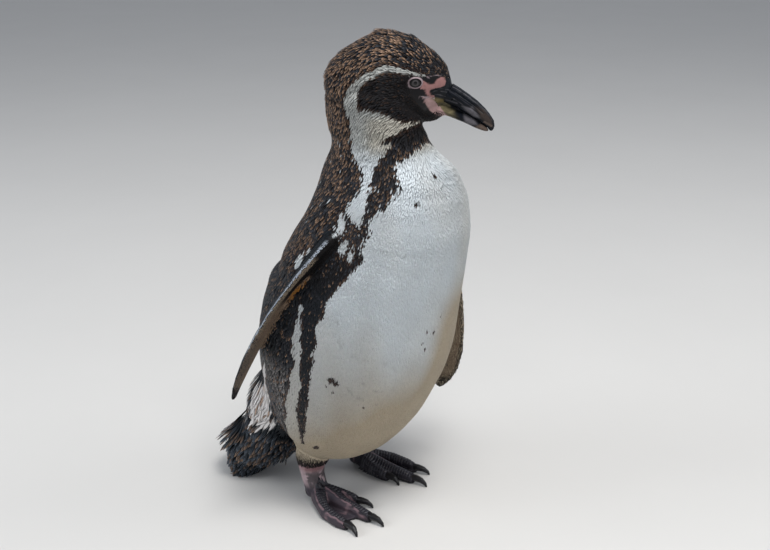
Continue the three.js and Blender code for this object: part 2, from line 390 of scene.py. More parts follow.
# Bare skin shows on the face round the eye and along the gape. These loops are drawn on the
# side of the head, back to front and up, in millimetres from the head's centre.
LID_CENTRE = (-30.3, 10.6)
LID_OPENING = (5.3, 4.0)
LID_RING = (7.3, 5.7)
PINK_UPPER = ((-35, 13), (-38.5, 11.6), (-41.5, 9.6), (-44.5, 7.8), (-48.4, 8), (-50.2, 10.2),
              (-52.0, 12.2), (-55.3, 13.7), (-58.4, 13.4), (-60.6, 9), (-59.4, 5.0), (-54.5, 3.8),
              (-49.5, 3.4), (-45.8, 2.6), (-44.3, 1.0), (-45.5, -1.8), (-49, -3.6), (-51, -6.4),
              (-44, -4.4), (-40.4, -0.4), (-40.2, 2.2), (-37.5, 4), (-35, 4))
GAPE_LINE = ((-34.3, -3.0), (-38.8, -3.6), (-44, -5.2), (-49.5, -7.0))
PINK_LOWER = ((-37.8, -3.8), (-44, -5.4), (-50, -8.2), (-53.6, -12.6), (-56.4, -18.2),
              (-61.4, -24.4), (-65, -28.6), (-56.6, -27.0), (-49.5, -23.4), (-44.9, -19.2),
              (-41.2, -12.4))
GAPE_YELLOW = ((-46, -6.6), (-50, -6.2), (-58, -9.2), (-58, -12.5), (-53, -12))
HORN_OLIVE = ((-49.5, -9.8), (-58, -10), (-66, -14), (-66, -26), (-58, -24.4), (-54.4, -18.7),
              (-52.3, -13.7))
BARE_FACE = ((-35, 14.4), (-38.6, 14.6), (-44.4, 15.8), (-50.3, 15.9), (-55.8, 15.0),
             (-58.6, 13.2), (-60.6, 9.5), (-125, 9.5), (-125, -60), (-66, -60), (-60, -28.6),
             (-55.7, -26.4), (-49, -23.4), (-41.5, -19), (-36.2, -13.2), (-32, -8),
             (-30, -3.4), (-27.6, -1), (-28, 2.4), (-31, 4))


def loop_distance(across, up, loop):
    """Distance to a closed loop on the side of the head, below nought inside it."""
    corners = np.array(loop, float)
    ends = np.roll(corners, -1, 0)
    nearest = np.full(len(across), 1e9)
    inside = np.zeros(len(across), bool)
    for (ax, ay), (bx, by) in zip(corners, ends):
        run = (bx - ax, by - ay)
        t = ((across - ax) * run[0] + (up - ay) * run[1]) / (run[0] ** 2 + run[1] ** 2)
        t = np.clip(t, 0, 1)
        nearest = np.minimum(nearest, np.hypot(across - ax - t * run[0], up - ay - t * run[1]))
        crosses = (ay > up) != (by > up)
        where = ax + (up - ay) * run[0] / (run[1] if run[1] else 1e-9)
        inside ^= crosses & (across < where)
    return np.where(inside, -nearest, nearest)


def line_distance(across, up, line):
    """Distance to an open line, and how far along it the nearest place is, from 0 to 1."""
    corners = np.array(line, float)
    nearest = np.full(len(across), 1e9)
    along = np.zeros(len(across))
    pieces = len(corners) - 1
    for index in range(pieces):
        a, b = corners[index], corners[index + 1]
        run = b - a
        t = np.clip(((across - a[0]) * run[0] + (up - a[1]) * run[1]) / (run @ run), 0, 1)
        away = np.hypot(across - a[0] - t * run[0], up - a[1] - t * run[1])
        closer = away < nearest
        nearest = np.where(closer, away, nearest)
        along = np.where(closer, (index + t) / pieces, along)
    return nearest, along


def ellipse(across, up, centre, reach):
    return np.hypot((across - centre[0]) / reach[0], (up - centre[1]) / reach[1])


def bare_distance(local):
    """Millimetres from the edge of the bare face, below nought on the bare skin."""
    y, z = local[:, 1], local[:, 2]
    ring = (ellipse(y, z, LID_CENTRE, LID_RING) - 1) * 6
    side = np.where(np.abs(local[:, 0]) > 10, 0, 4)
    face = loop_distance(y, z, BARE_FACE) + np.where(y < -58, 0, side)
    return np.minimum(ring + np.where(np.abs(local[:, 0]) > 15, 0, 20), face)


# Spacing, length, width and lift of the feathers of each part, in millimetres. The back's are
# added to the breast's, and those of the face and of its edge are taken from the head's.
COAT = {"breast": (1.15, 5.6, 1.5, 0.7), "back": (0.65, 4.6, 1.5, 1.3),
        "collar": (1.42, 8.4, 1.85, 1.3), "head": (1.36, 8.6, 1.65, 1.5),
        "face": (0.30, 4.4, 0.40, 0.75), "rim": (0.26, 2.0, 0.4, 0.4),
        "tail": (3.0, 24, 3.8, 2.6), "wing": (0.95, 2.4, 1.25, 0.4), "leg": (1.2, 5.0, 1.5, 0.9)}
COAT = {part: np.array(sizes, float)[:, None] for part, sizes in COAT.items()}


def coat_sizes(points, share):
    """Spacing, length, width and lift of the feathers at these places, in millimetres."""
    angle, _, height = round_body(points)
    rear = step(np.abs(angle), 84, 100)
    neck = step(height, 350, 400)
    trunk = COAT["breast"] + COAT["back"] * rear
    trunk = trunk * (1 - neck) + COAT["collar"] * neck
    bare = bare_distance(to_head(points))
    head = COAT["head"] - COAT["face"] * step(bare, 20, 4) - COAT["rim"] * step(bare, 5, 0.5)
    return (share[:, HEAD] * head + share[:, TRUNK] * trunk + share[:, TAIL] * COAT["tail"]
            + (share[:, WING_L] + share[:, WING_R]) * COAT["wing"]
            + (share[:, LEG] + share[:, FOOT]) * COAT["leg"])


# Lines where the coat folds: across the throat, and where the breast feathers part. Each place
# is an angle round from the breast, in degrees, and a height in millimetres.
FOLDS = (((81, 436), (71, 434), (56, 434), (46, 437)),
         ((84, 431), (76, 430), (64, 431), (49, 430), (38, 428)),
         ((84, 422), (69, 424), (55, 422)), ((26, 395), (12, 395), (2, 396)),
         ((33, 379), (22, 381), (11, 380)), ((62, 334), (52, 331), (47, 328), (41, 327), (30, 325)),
         ((77, 278), (74, 260), (72, 246), (69, 235), (65, 227), (59, 222), (52, 218), (45, 215),
          (38, 209), (33, 199)),
         ((69, 244), (66, 233), (61, 226)),
         ((64, 194), (59, 184), (55, 175), (48, 169), (40, 161), (34, 152)),
         ((57, 196), (50, 190), (46, 181), (38, 178)), ((72, 143), (65, 139), (57, 141)),
         ((-20, 330), (-38, 326), (-55, 332)), ((-30, 214), (-46, 219), (-62, 230), (-70, 250)),
         ((-20, 168), (-40, 172), (-56, 186)))
DEGREE = 1.75
FOLD_HALF = 1.1


def creases(points):
    """How deep in a fold line of the coat each place lies, from 0 to 1."""
    angle, _, height = round_body(points)
    deep = np.zeros(len(points))
    for line in FOLDS:
        scaled = [(a * DEGREE, b) for a, b in line]
        away, along = line_distance(angle * DEGREE, height, scaled)
        fade = step(along, 0, 0.15) * step(along, 1, 0.85)
        deep = np.maximum(deep, np.exp(-(away / FOLD_HALF) ** 2) * (0.2 + 0.8 * fade))
    return deep


# The face and feet are refined, and the skin round the eyes twice, so that edges and lids are
# crisp. An eye's surroundings reach this far to the back and up, in millimetres.
EYE_REACH = (12, 10)
FACE_MARGIN = 3.0
FOOT_TOP = 56
HEEL_REACH = 0.03


def refine(shape, chosen):
    """Halves each edge whose two ends are both chosen."""
    halved = [edge for edge in shape.edges
              if chosen[edge.verts[0].index] and chosen[edge.verts[1].index]]
    bmesh.ops.subdivide_edges(shape, edges=halved, cuts=1, use_grid_fill=True)
    bmesh.ops.triangulate(shape, faces=[face for face in shape.faces if len(face.verts) > 3])
    shape.verts.index_update()


face_shape = bmesh.new()
face_shape.from_mesh(skin_mesh)
for whole_face in (True, False):
    local = to_head(np.array([vertex.co for vertex in face_shape.verts]))
    near_eye = ellipse(local[:, 1], local[:, 2], LID_CENTRE, EYE_REACH) < 1
    near_eye = near_eye & (np.abs(local[:, 0]) > 12)
    near_face = (bare_distance(local) < FACE_MARGIN) & (local[:, 2] > -40) & (local[:, 1] < -10)
    refine(face_shape, near_eye | near_face & whole_face)
points = np.array([vertex.co for vertex in face_shape.verts])
in_foot = (points[:, 2] < FOOT_TOP * MM) & (points[:, 1] < middle("leg_left").y + HEEL_REACH)
refine(face_shape, in_foot)
face_shape.to_mesh(skin_mesh)
face_shape.free()
skin_mesh.update()

# The skin is drawn in by the depth of the coat. Along the shoulders it is filled out a little:
# height, fill and spread of each filling, in millimetres.
EDGE_ROUNDS = 14
BARE_DEPTH = 0.15
TAIL_TIP_DEPTH = 1.5
BILL_DEPTH = 1.3
SHOULDER_FILLS = ((299, 3.4, 17), (274, 4.0, 12))
skin_places = places(skin_mesh)
skin_edges = values_of(skin_mesh.edges, "vertices", 2, np.int32)
skin_region = regions_of(skin_places)
weights = spread(np.eye(len(set(REGION.values())))[skin_region], skin_edges, EDGE_ROUNDS)
local = to_head(skin_places)
side = np.sign(local[:, 0])
bare = step(bare_distance(local), 2.5, -0.5) * (weights[:, HEAD] > 0.5)
depth = coat_sizes(skin_places, weights)[3] * (1 - bare) + BARE_DEPTH * bare
tail_tip = weights[:, TAIL] * step(skin_places[:, 2] / MM, 62, 16)
depth = depth * (1 - weights[:, LEG] - weights[:, FOOT]) + TAIL_TIP_DEPTH * tail_tip
depth += creases(skin_places) * (0.2 + 0.6 * step(skin_places[:, 2] / MM, 405, 420))
height = skin_places[:, 2] / MM
shoulder = step(np.abs(round_body(skin_places)[0]), 95, 128) * weights[:, TRUNK]
for level, fill, reach in SHOULDER_FILLS:
    depth -= fill * shoulder * np.exp(-((height - level) / reach) ** 2)
in_bill = step(local[:, 1], -59, -66) * (weights[:, HEAD] > 0.5)
depth += BILL_DEPTH * in_bill
skin_places = skin_places - normals(skin_mesh) * ((depth * MM + SWELL)[:, None])

# Beyond the face the skin narrows to a core inside the bill.
BILL_CORE = ((-125, -46), (-108, -40), (-99, -34), (-88, -27), (-74, -18), (-60, -12))
CORE_NARROWING = 0.45
local = to_head(skin_places)
core = np.interp(local[:, 1], *zip(*BILL_CORE))
narrow = 1 - CORE_NARROWING * step(local[:, 1], -64, -84) * (weights[:, HEAD] > 0.5)
local[:, 0] *= narrow
local[:, 2] = core + (local[:, 2] - core) * narrow
skin_places = from_head(local)

# Lids: inside their opening the skin passes behind the eyeball; round it they lie on the ball.
EYEBALL = 8.0
LID_THICKNESS = 0.55
SOCKET_GAP = 1.3
LID_EDGE = 1.02
local = to_head(skin_places)
seat = EYE_SEAT * np.stack((side, np.ones_like(side), np.ones_like(side)), 1)
from_eye = local - seat
ring = ellipse(local[:, 1], local[:, 2], LID_CENTRE, LID_OPENING)
flat = np.hypot(from_eye[:, 1], from_eye[:, 2])
by_eye = (np.abs(local[:, 0]) > 18) & (flat < 13)
ball = np.sqrt(np.maximum((EYEBALL + LID_THICKNESS) ** 2 - flat ** 2, 4.0))
hidden = np.sqrt(np.maximum((EYEBALL - SOCKET_GAP) ** 2 - flat ** 2, 0.5))
lid_x = EYE_SEAT[0] + np.where(ring < LID_EDGE, hidden, ball)
blend = step(ring, 1.75, 1.25)
new_x = np.abs(local[:, 0]) * (1 - blend) + lid_x * blend
local[:, 0] = np.where(by_eye, side * np.where(ring < LID_EDGE, lid_x, new_x), local[:, 0])
skin_places = from_head(local)
skin_places[:, 2] = np.maximum(skin_places[:, 2], 0)
put_places(skin_mesh, skin_places)

# Markings shared by the skin and every feather: the angle round from the breast, in degrees, of
# each edge of a band, stripe or streak, at heights in millimetres.
BAND_FRONT_Z = (92, 101, 151, 203, 249, 268, 290, 308, 322, 343, 356, 367, 373, 383, 395, 408,
                415, 419, 427)
BAND_FRONT = (80, 80, 81, 81, 84, 84, 80, 73, 68, 66, 64, 60, 52, 45, 41, 36, 23, 11, -12)
BAND_BACK_Z = (96, 116, 147, 175, 200, 223, 244, 265, 276, 300, 342, 351, 364, 374, 389, 401,
               412, 422, 433, 440)
BAND_BACK = (82, 86, 88, 87, 88, 90, 95, 98, 104, 112, 72, 71, 70, 68, 65, 61, 55, 47, 35, 26)
STREAK_Z = (350, 353, 359, 364, 371, 379, 389, 400, 408, 419, 431, 445)
STREAK_BACK = (70, 74, 79, 84, 82, 76, 75, 74, 82, 89, 91, 91)
STRIPE_Z = (40, 122, 147, 183, 208, 230, 253, 272, 290)
STRIPE_BACK = (99, 99, 97, 94, 94, 97.5, 100, 101, 101)
# On the side of the head, places are back to front and up from its centre, in millimetres.
HEAD_STRIPE = ((-38.5, 16.6), (-30, 18.9), (-22, 21.5), (-15.5, 22.8), (-8, 23.6), (-0.4, 24.6),
               (7, 21.2), (14.7, 17.2), (21, 13), (26, 8.2), (30, 2), (31.5, -4), (31, -10.4),
               (29.5, -17), (26, -24.3), (21, -31))
STRIPE_HALF = (0.8, 1.4, 1.7, 2.1, 2.4, 3.0, 3.0, 3.2, 3.2, 3.8, 4.6, 5.6, 6.2, 6.8, 7.4, 8.0)
THROAT = ((22, -14), (11, -14.8), (3.4, -16.6), (-4.2, -21.5), (-12.8, -24.7), (-20.5, -27.3),
          (-30, -28.6), (-36, -29.8), (-29.3, -30.8), (-23.4, -31.6), (-15.7, -33.4), (-9, -37),
          (0, -41), (6, -48), (30, -48), (31, -36), (26, -24))
CHEEK = ((-32, 17), (-8, 20), (6, 17), (20, 8), (27, 0), (27, -14), (0, -22), (-36, -34),
         (-62, -30), (-40, -18), (-30, -6))
# On the body, places are an angle and a height, and each spot has its size as well.
RUMP_PATCH = ((123, 178), (126, 160), (130, 143), (133, 122), (133, 100), (131, 84))
RUMP_HALF = (2, 7, 10, 13, 13, 8)
SHOULDER_SPOTS = ((86, 352, 4.5), (80, 331, 4.0), (75, 326, 4.0), (111, 309, 5.0), (104, 318, 3.5))
BELLY_SPOTS = ((12, 396, 1.6), (32, 374, 2.4), (69, 194, 3.9), (66, 190, 2.6), (71, 186, 1.6),
               (69, 92, 3.2), (67, 179, 1.3), (8, 250, 1.5), (18, 238, 1.5), (12, 234, 1.6),
               (20, 227, 1.2), (17, 218, 1.1), (48, 159, 1.2), (-25, 330, 1.8), (-48, 262, 2.4),
               (-58, 190, 2.8), (-30, 205, 1.4), (-14, 160, 1.3))
WHITE = np.array((0.72, 0.775, 0.81))
WARM_WHITE = np.array((0.54, 0.455, 0.335))
# The head's white and the throat's cream are darker than the breast's white: painted shade under
# the head.
HEAD_WHITE_IN_SHADE = np.array((0.46, 0.47, 0.45))
THROAT_CREAM = np.array((0.49, 0.465, 0.405))
# The rump's white is brighter than the breast's, as painted light on its patch.
RUMP_WHITE_LIT = np.array((0.88, 0.85, 0.84))
BLACK = np.array((0.0080, 0.0066, 0.0070))
BLUE_BLACK = np.array((0.013, 0.017, 0.022))
# The plain tips of dark feathers are lighter than their bases: partly their own grey edges, partly
# a painted sheen.
SLATE = np.array((0.080, 0.083, 0.095))
GLINT_BLUE = np.array((0.105, 0.125, 0.155))
THIGH_GREY = np.array((0.300, 0.285, 0.280))
TAN = np.array((0.52, 0.335, 0.225))
CHEEK_BROWN = np.array((0.105, 0.062, 0.042))
BROWN = np.array((0.085, 0.045, 0.027))
EDGE_BROWN = np.array((0.115, 0.058, 0.034))


def ripple(points, size, seed):
    """A smooth uneven field between about -1 and 1, with swells of about this size in mm."""
    draw = np.random.default_rng(seed)
    waves = draw.normal(size=(7, 3)) * (2.2 / size)
    start = draw.uniform(0, 2 * math.pi, 7)
    return np.sin((points / MM) @ waves.T + start).sum(1) / 3.4


def pale_distance(points, jitter):
    """Millimetres outside the nearest white marking, below nought inside it."""
    angle, radius, height = round_body(points)
    turn = np.abs(angle)
    arc = radius * math.pi / 180
    upper = step(height, 290, 340)
    ragged = ripple(points, 9, 11) * 2.4 + jitter * (1.6 + 1.8 * upper)
    front = (turn - np.interp(height, BAND_FRONT_Z, BAND_FRONT)) * arc
    front = np.where(height < 92, np.minimum(front, (turn - 99) * arc), front) + ragged
    front = np.where(height > 432, 40, front)
    band_back = np.interp(height, BAND_BACK_Z, BAND_BACK)
    streak = np.maximum(band_back - turn, turn - np.interp(height, STREAK_Z, STREAK_BACK)) * arc
    streak = np.where((height > 350) & (height < 446), streak, 40) + ragged * 0.7
    stripe = np.maximum(band_back - turn, turn - np.interp(height, STRIPE_Z, STRIPE_BACK)) * arc
    stripe = np.where(height < 290, stripe, 40) + ragged * 0.8
    away, along = line_distance(turn * 1.6, height, [(a * 1.6, b) for a, b in RUMP_PATCH])
    rump = away - np.interp(along, np.linspace(0, 1, len(RUMP_HALF)), RUMP_HALF) + ragged * 0.9
    rump = rump + jitter * 7 * step(height, 128, 96)
    body = np.minimum.reduce((front, streak, stripe, rump))
    for spot_turn, spot_height, reach in SHOULDER_SPOTS:
        spot = np.hypot((turn - spot_turn) * arc, (height - spot_height) * 0.6) - reach
        body = np.minimum(body, spot + ragged * 0.5)
    local = to_head(points)
    away, along = line_distance(local[:, 1], local[:, 2], HEAD_STRIPE)
    half = np.interp(along, np.linspace(0, 1, len(STRIPE_HALF)), STRIPE_HALF)
    head = np.minimum(away - half, loop_distance(local[:, 1], local[:, 2], THROAT))
    head = head + np.where(np.abs(local[:, 0]) > 12, 0, 6)
    head = head + ripple(points, 5, 5) * 0.6 + jitter * 0.7
    return np.where(local[:, 2] > -45, head, body)


def within(distance, edge=0.45):
    """1 inside an outline and 0 outside it, with an edge this soft in millimetres."""
    return step(distance, edge, -edge)


def over(colours, colour, mask):
    """Colours with another laid over them where the mask is near 1."""
    return colours * (1 - mask[:, None]) + colour * mask[:, None]


def plumage(points, jitter, chance):
    """Base and tip colours of the feathers that show at these places, and how white they are."""
    angle, radius, height = round_body(points)
    turn = np.abs(angle)
    arc = radius * math.pi / 180
    local = to_head(points)
    back, up = local[:, 1], local[:, 2]
    edge = pale_distance(points, jitter)
    pale = step(edge, 0.4, -0.4)
    about_neck = step(height, 325, 345) * step(height, 440, 420)
    fleck = chance[:, 0] < (0.008 + 0.10 * step(edge, 7, 1)) * about_neck
    pale = np.where(fleck, np.maximum(pale, 0.7), pale)
    spots = np.full(len(points), 9.0)
    for spot_angle, spot_height, reach in BELLY_SPOTS:
        away = np.hypot((angle - spot_angle) * arc, height - spot_height)
        spots = np.minimum(spots, away - reach + jitter * 0.8)
    pale = pale * step(spots, -0.3, 0.4)

    # The breast's white turns warmer and darker lower down and towards its left side: partly a real
    # yellow-brown stain, partly painted shade.
    stain_and_shade = step(height, 235, 110) * step(angle, 100, 5) + 0.45 * step(height, 300, 120)
    stain_and_shade = stain_and_shade + 0.5 * step(height, 150, 70)
    stain_and_shade = stain_and_shade + 0.9 * step(height, 300, 230) * step(angle, 20, -12)
    stain_and_shade = stain_and_shade + 0.16 * step(angle, 30, -25)
    stain_and_shade = np.clip(stain_and_shade + ripple(points, 45, 3) * 0.12, 0, 1)[:, None]
    white = WHITE * (1 - stain_and_shade) + WARM_WHITE * stain_and_shade
    # Up the neck the white darkens to the head's, as painted shade.
    up_neck = step(height, 398, 436)[:, None]
    white = white * (1 - up_neck) + HEAD_WHITE_IN_SHADE * up_neck
    cream = step(up, -17, -26) * step(back, 24, 8) * step(up, -62, -46)
    white = over(white, THROAT_CREAM, cream)
    # The rump patch takes the brighter white of painted light.
    on_rump = (step(turn, 106, 112) * step(height, 210, 190))[:, None]
    white = white * (1 - on_rump) + RUMP_WHITE_LIT * on_rump
    # Painted light whitens the upper breast on its left side, and painted shade greys the right
    # side of the breast beside the flipper.
    painted_light_and_shade = 0.10 * step(angle, 15, -30) * step(height, 260, 320)
    painted_light_and_shade = painted_light_and_shade - 0.12 * step(angle, 42, 62) * step(turn, 106, 100)
    white = white * (1 + painted_light_and_shade + 0.035 * ripple(points, 18, 8) + 0.03 * jitter)[:, None]

    high = step(height, 255, 320)
    dark = BLUE_BLACK * (1 - high[:, None]) + BLACK * high[:, None]
    in_band = step(turn - np.interp(height, BAND_BACK_Z, BAND_BACK), 6, -2) * step(height, 446, 436)
    tanned = 0.05 + high * (0.46 + 0.36 * ripple(points, 13, 21)) + 0.3 * step(height, 385, 425)
    tanned = np.where(turn < 84, tanned * 0.75, tanned)
    tanned = tanned * (1 - in_band) + (0.02 + 0.42 * step(height, 330, 400)) * in_band
    crown = 0.90 - 0.55 * step(back, 2, -26) + 0.16 * ripple(points, 9, 23)
    cheek = step(loop_distance(back, up, CHEEK), 3, -3) * step(np.abs(local[:, 0]), 8, 16)
    cheek = np.maximum(cheek, step(up, -6, -16) * step(back, 10, -4))
    of_cheek = 0.12 + 0.16 * step(back, -24, -50) * step(up, -4, -14)
    crown = crown * (1 - cheek) + of_cheek * cheek
    on_head = step(up, -50, -40)
    cheek_share = cheek * on_head
    tanned = np.clip(tanned * (1 - on_head) + crown * on_head, 0, 1)
    lucky = (chance[:, 1] < 0.06 + 0.60 * tanned)[:, None]
    glinting = (chance[:, 1] > 0.86) * high * (1 - cheek_share)
    # Tips that are not tan are slate: partly grey edges, partly a painted sheen.
    plain = SLATE * (1 - 0.55 * np.maximum(cheek_share, in_band * (height < 330)))[:, None]
    thigh = step(turn, 94, 99) * step(turn, 142, 118) * step(height, 205, 185)
    thigh = (thigh * step(height, 60, 80))[:, None]
    shade = chance[:, 2:3]
    plain = plain * (1 - thigh) + THIGH_GREY * thigh
    plain = plain * (0.35 + 0.9 * shade) * (1 + thigh * (1.6 * shade - 0.7))
    plain = over(plain, GLINT_BLUE, glinting * 0.8)
    brown = over(np.tile(TAN, (len(points), 1)), CHEEK_BROWN, cheek_share)
    bright = 1 + 0.45 * (step(height, 330, 400) * (1 - in_band) * (1 - cheek_share))[:, None]
    tip = np.where(lucky, brown * bright * (0.32 + 0.98 * shade), plain)
    rim = (step(edge, 4.0, 0.8) * (0.4 + 0.6 * chance[:, 2]))[:, None]
    tip = tip * (1 - rim) + EDGE_BROWN * rim
    pale = pale[:, None]
    return white * pale + dark * (1 - pale), white * pale + tip * (1 - pale), pale[:, 0]


def paint(mesh, name, colours):
    """Stores a colour for each vertex."""
    layer = mesh.color_attributes.new(name, "FLOAT_COLOR", "POINT")
    rgba = np.ones((len(colours), 4), np.float32)
    rgba[:, :3] = colours
    layer.data.foreach_set("color", rgba.ravel())


BILL_BLACK = np.array((0.0065, 0.0080, 0.0115))
BILL_BROWN = np.array((0.085, 0.062, 0.050))
BILL_PALE = np.array((0.17, 0.160, 0.175))
BILL_OLIVE = np.array((0.130, 0.110, 0.062))
PINK = np.array((0.275, 0.140, 0.132))
PINK_PALE = np.array((0.40, 0.255, 0.245))
LILAC = np.array((0.31, 0.240, 0.255))
BARE_BLACK = np.array((0.006, 0.0056, 0.0066))
HORN_YELLOW = np.array((0.175, 0.135, 0.060))
OLIVE = np.array((0.105, 0.090, 0.052))
BROW_LINE = ((-58.0, 15.0), (-52, 15.6), (-46, 15.6), (-41, 14.6))
CHEEK_FOLD = ((-40, -4.6), (-47, -8.8), (-52.3, -15.2), (-58.5, -24.2))
# Pale streaks on the horn at the bill's base are painted highlights.
HORN_HIGHLIGHTS = (((-47, 1.2), (-54, 0.4), (-62, -2.0)), ((-52.5, 2.6), (-58, 2.2), (-66, -1.0)),
                ((-48, -2.6), (-55, -4.0), (-62, -6.4)))
BEHIND_GAPE = ((-33.6, 1.0), (6.2, 2.4))
TARSUS_PINK = np.array((0.41, 0.310, 0.330))
TARSUS_RED = np.array((0.235, 0.130, 0.138))
TARSUS_DARK = np.array((0.105, 0.086, 0.092))
WEB_PINK = np.array((0.205, 0.135, 0.150))
WEB_PURPLE = np.array((0.050, 0.042, 0.053))
WEB_DARK = np.array((0.022, 0.020, 0.026))
# Each toe's length from the ball of the foot, half-width and sideways bow, in millimetres.
TOES = {"outer": (72, 6.5, 11), "middle": (79, 7.0, 0), "inner": (52, 6.0, -5)}
CLAW_MIDDLE = 6
BALL_OF_FOOT = (-3.3, -5.2)


def toe_line(side_name, toe, reaches):
    """Places over the middle of a toe, at these distances from the ball of the foot in mm."""
    sign = 1 if side_name == "left" else -1
    length, _, bow = TOES[toe]
    ball = np.array(middle("leg_" + side_name))[:2]
    ball = ball + np.array((sign * BALL_OF_FOOT[0], BALL_OF_FOOT[1])) * MM
    run = np.array(middle(f"claw_{side_name}_{toe}"))[:2] - ball
    run = run / np.linalg.norm(run)
    aside = np.array((-run[1], run[0])) * sign
    aside = aside if aside[0] * sign > 0 else -aside
    reaches = np.asarray(reaches, float)
    bent = bow * np.sin(math.pi * np.clip(reaches / length, 0, 1))
    return ball + (reaches[:, None] * run + bent[:, None] * aside) * MM


def over_toes(points):
    """Reach along the nearest toe in mm, and distance across it in half-widths."""
    reach = np.zeros(len(points))
    across = np.full(len(points), 9.0)
    for side_name in ("left", "right"):
        for toe, (length, half, _) in TOES.items():
            steps = np.linspace(-8, length + CLAW_MIDDLE, 30)
            for mark, place in zip(steps, toe_line(side_name, toe, steps)):
                away = np.hypot(points[:, 0] - place[0], points[:, 1] - place[1]) / MM / half
                reach = np.where(away < across, mark, reach)
                across = np.minimum(across, away)
    return reach, across


SKIN_SHADE = 0.92
skin_places = places(skin_mesh)
skin_facing = normals(skin_mesh)
count = len(skin_places)
chance = np.full((count, 3), 0.5)
skin_colour = plumage(skin_places, np.zeros(count), chance)[0] * SKIN_SHADE
local = to_head(skin_places)
y, z = local[:, 1], local[:, 2]
on_face = (weights[:, HEAD] > 0.5) * 1.0
bare = within(bare_distance(local), 0.6) * on_face
blood = 1 + 0.10 * ripple(skin_places, 3, 33)[:, None]
skin_colour = over(skin_colour, BARE_BLACK, bare)
for colour, loop in ((PINK, PINK_UPPER), (PINK_PALE, PINK_LOWER)):
    skin_colour = over(skin_colour, colour * blood, within(loop_distance(y, z, loop)) * on_face)
skin_horn = np.tile(BILL_BLACK * 0.7, (count, 1))
skin_horn = skin_horn * (1 + 0.3 * ripple(skin_places, 7, 42))[:, None]
# Painted highlights lie in pale streaks on the horn of the face.
for line in HORN_HIGHLIGHTS:
    away, along = line_distance(y, z, line)
    skin_horn = over(skin_horn, BILL_PALE * 0.6, within(away - 0.1, 0.35) * step(along, 0, 0.3))
skin_horn = over(skin_horn, OLIVE, within(loop_distance(y, z, HORN_OLIVE), 1.2))
yellow = within(loop_distance(y, z, GAPE_YELLOW), 1.6)
skin_horn = over(skin_horn, HORN_YELLOW, yellow)
skin_colour = over(skin_colour, HORN_YELLOW, yellow * on_face)
away, _ = line_distance(y, z, CHEEK_FOLD)
skin_colour = over(skin_colour, PINK_PALE * 1.35, 0.6 * within(away - 0.1, 0.4) * on_face)
away, along = line_distance(y, z, GAPE_LINE)
gape = within(away - 0.35, 0.35) * (0.35 + 0.65 * step(along, 0, 0.25))
skin_colour = over(skin_colour, LILAC * 1.35, gape * on_face)
away, along = line_distance(y, z, BROW_LINE)
brow = within(away - 0.1, 0.3) * on_face * step(along, 0, 0.3)
skin_colour = over(skin_colour, LILAC * 1.3, brow)
ring = ellipse(y, z, LID_CENTRE, LID_RING)
skin_colour = over(skin_colour, LILAC * 1.05, within((ring - 1) * 6) * on_face)
ring = ellipse(y, z, LID_CENTRE, LID_OPENING)
skin_colour = over(skin_colour, BARE_BLACK, within((ring - 1.12) * 5, 0.35) * on_face)
behind_gape = within((ellipse(y, z, *BEHIND_GAPE) - 1) * 3)
skin_colour = over(skin_colour, BARE_BLACK, behind_gape * on_face)

reach, across_toe = over_toes(skin_places)
height = skin_places[:, 2] / MM
uneven = ripple(skin_places, 8, 31) + 0.5 * ripple(skin_places, 3, 32)
foot_colour = over(np.tile(WEB_DARK, (count, 1)), WEB_PURPLE, step(across_toe, 0.9, 1.3))
valley = step(np.abs(across_toe - 0.98 + 0.06 * uneven), 0.14, 0.04) * step(height, 3.5, 6)
valley = valley * step(ripple(skin_places, 5, 35), -0.9, -0.2)
knuckle = step(np.abs(reach - 50), 4, 1.5) * step(across_toe, 0.3, 0.7) * step(uneven, 0.0, 0.6)
foot_colour = over(foot_colour, WEB_PINK, np.clip(valley + 0.8 * knuckle, 0, 1))
blotch = step(ripple(skin_places, 7, 36), -0.1, 0.4) * step(across_toe, 0.95, 1.15)
blotch = blotch * step(height, 3, 5)
foot_colour = over(foot_colour, WEB_PINK, 0.14 * blotch)
# The feet's lowest three millimetres, by the floor, are painted darker as shade.
foot_colour = over(foot_colour, WEB_DARK * 0.6, step(height, 3.0, 1.5))
front = step(skin_facing[:, 1], 0.15, -0.25)
patch = front * step(height, 42, 37) * step(uneven, -0.9, -0.4)
tarsus = over(np.tile(TARSUS_PINK, (count, 1)), TARSUS_DARK, patch)
tarsus = over(tarsus, TARSUS_RED, step(height, 38, 43) * (0.5 + 0.5 * front))
leg_colour = over(tarsus, foot_colour, np.maximum(step(height, 26, 17), weights[:, FOOT]))
skin_colour = over(skin_colour, leg_colour, (1 - weights[:, TAIL]) * step(height, 56, 50))
paint(skin_mesh, "skin", skin_colour)
smooth_faces(skin_mesh)


def stored(nodes, name):
    """A node that reads what a mesh keeps under this name."""
    node = nodes.new("ShaderNodeAttribute")
    node.attribute_name = name
    return node


skin_material, nodes, links, shader = principled("bare_skin", roughness=0.45, specular=0.18)
skin_paint = stored(nodes, "skin").outputs["Color"]
mottled(nodes, links, shader, skin_paint, scale=900.0, amount=0.35, bump=0.5)
skin = shown("skin", skin_mesh, skin_material)

# The horn of the bill begins on the face: that part of the skin is horn.
HORN_BASE = ((-61, 14), (-60.6, 9.4), (-59.4, 5.0), (-54.5, 3.8), (-49.5, 3.4), (-45.8, 2.6),
             (-44.3, 1.0), (-45.5, -1.8), (-49, -3.6), (-50, -9.8), (-52.3, -13.7), (-54.4, -18.7),
             (-58, -24.4), (-62.5, -28), (-64, -60), (-125, -60), (-125, 14))
bill_material, nodes, links, shader = principled("bill_horn", roughness=0.19, specular=0.12)
horn_paint = stored(nodes, "horn").outputs["Color"]
mottled(nodes, links, shader, horn_paint, scale=420.0, amount=0.8, bump=0.4)

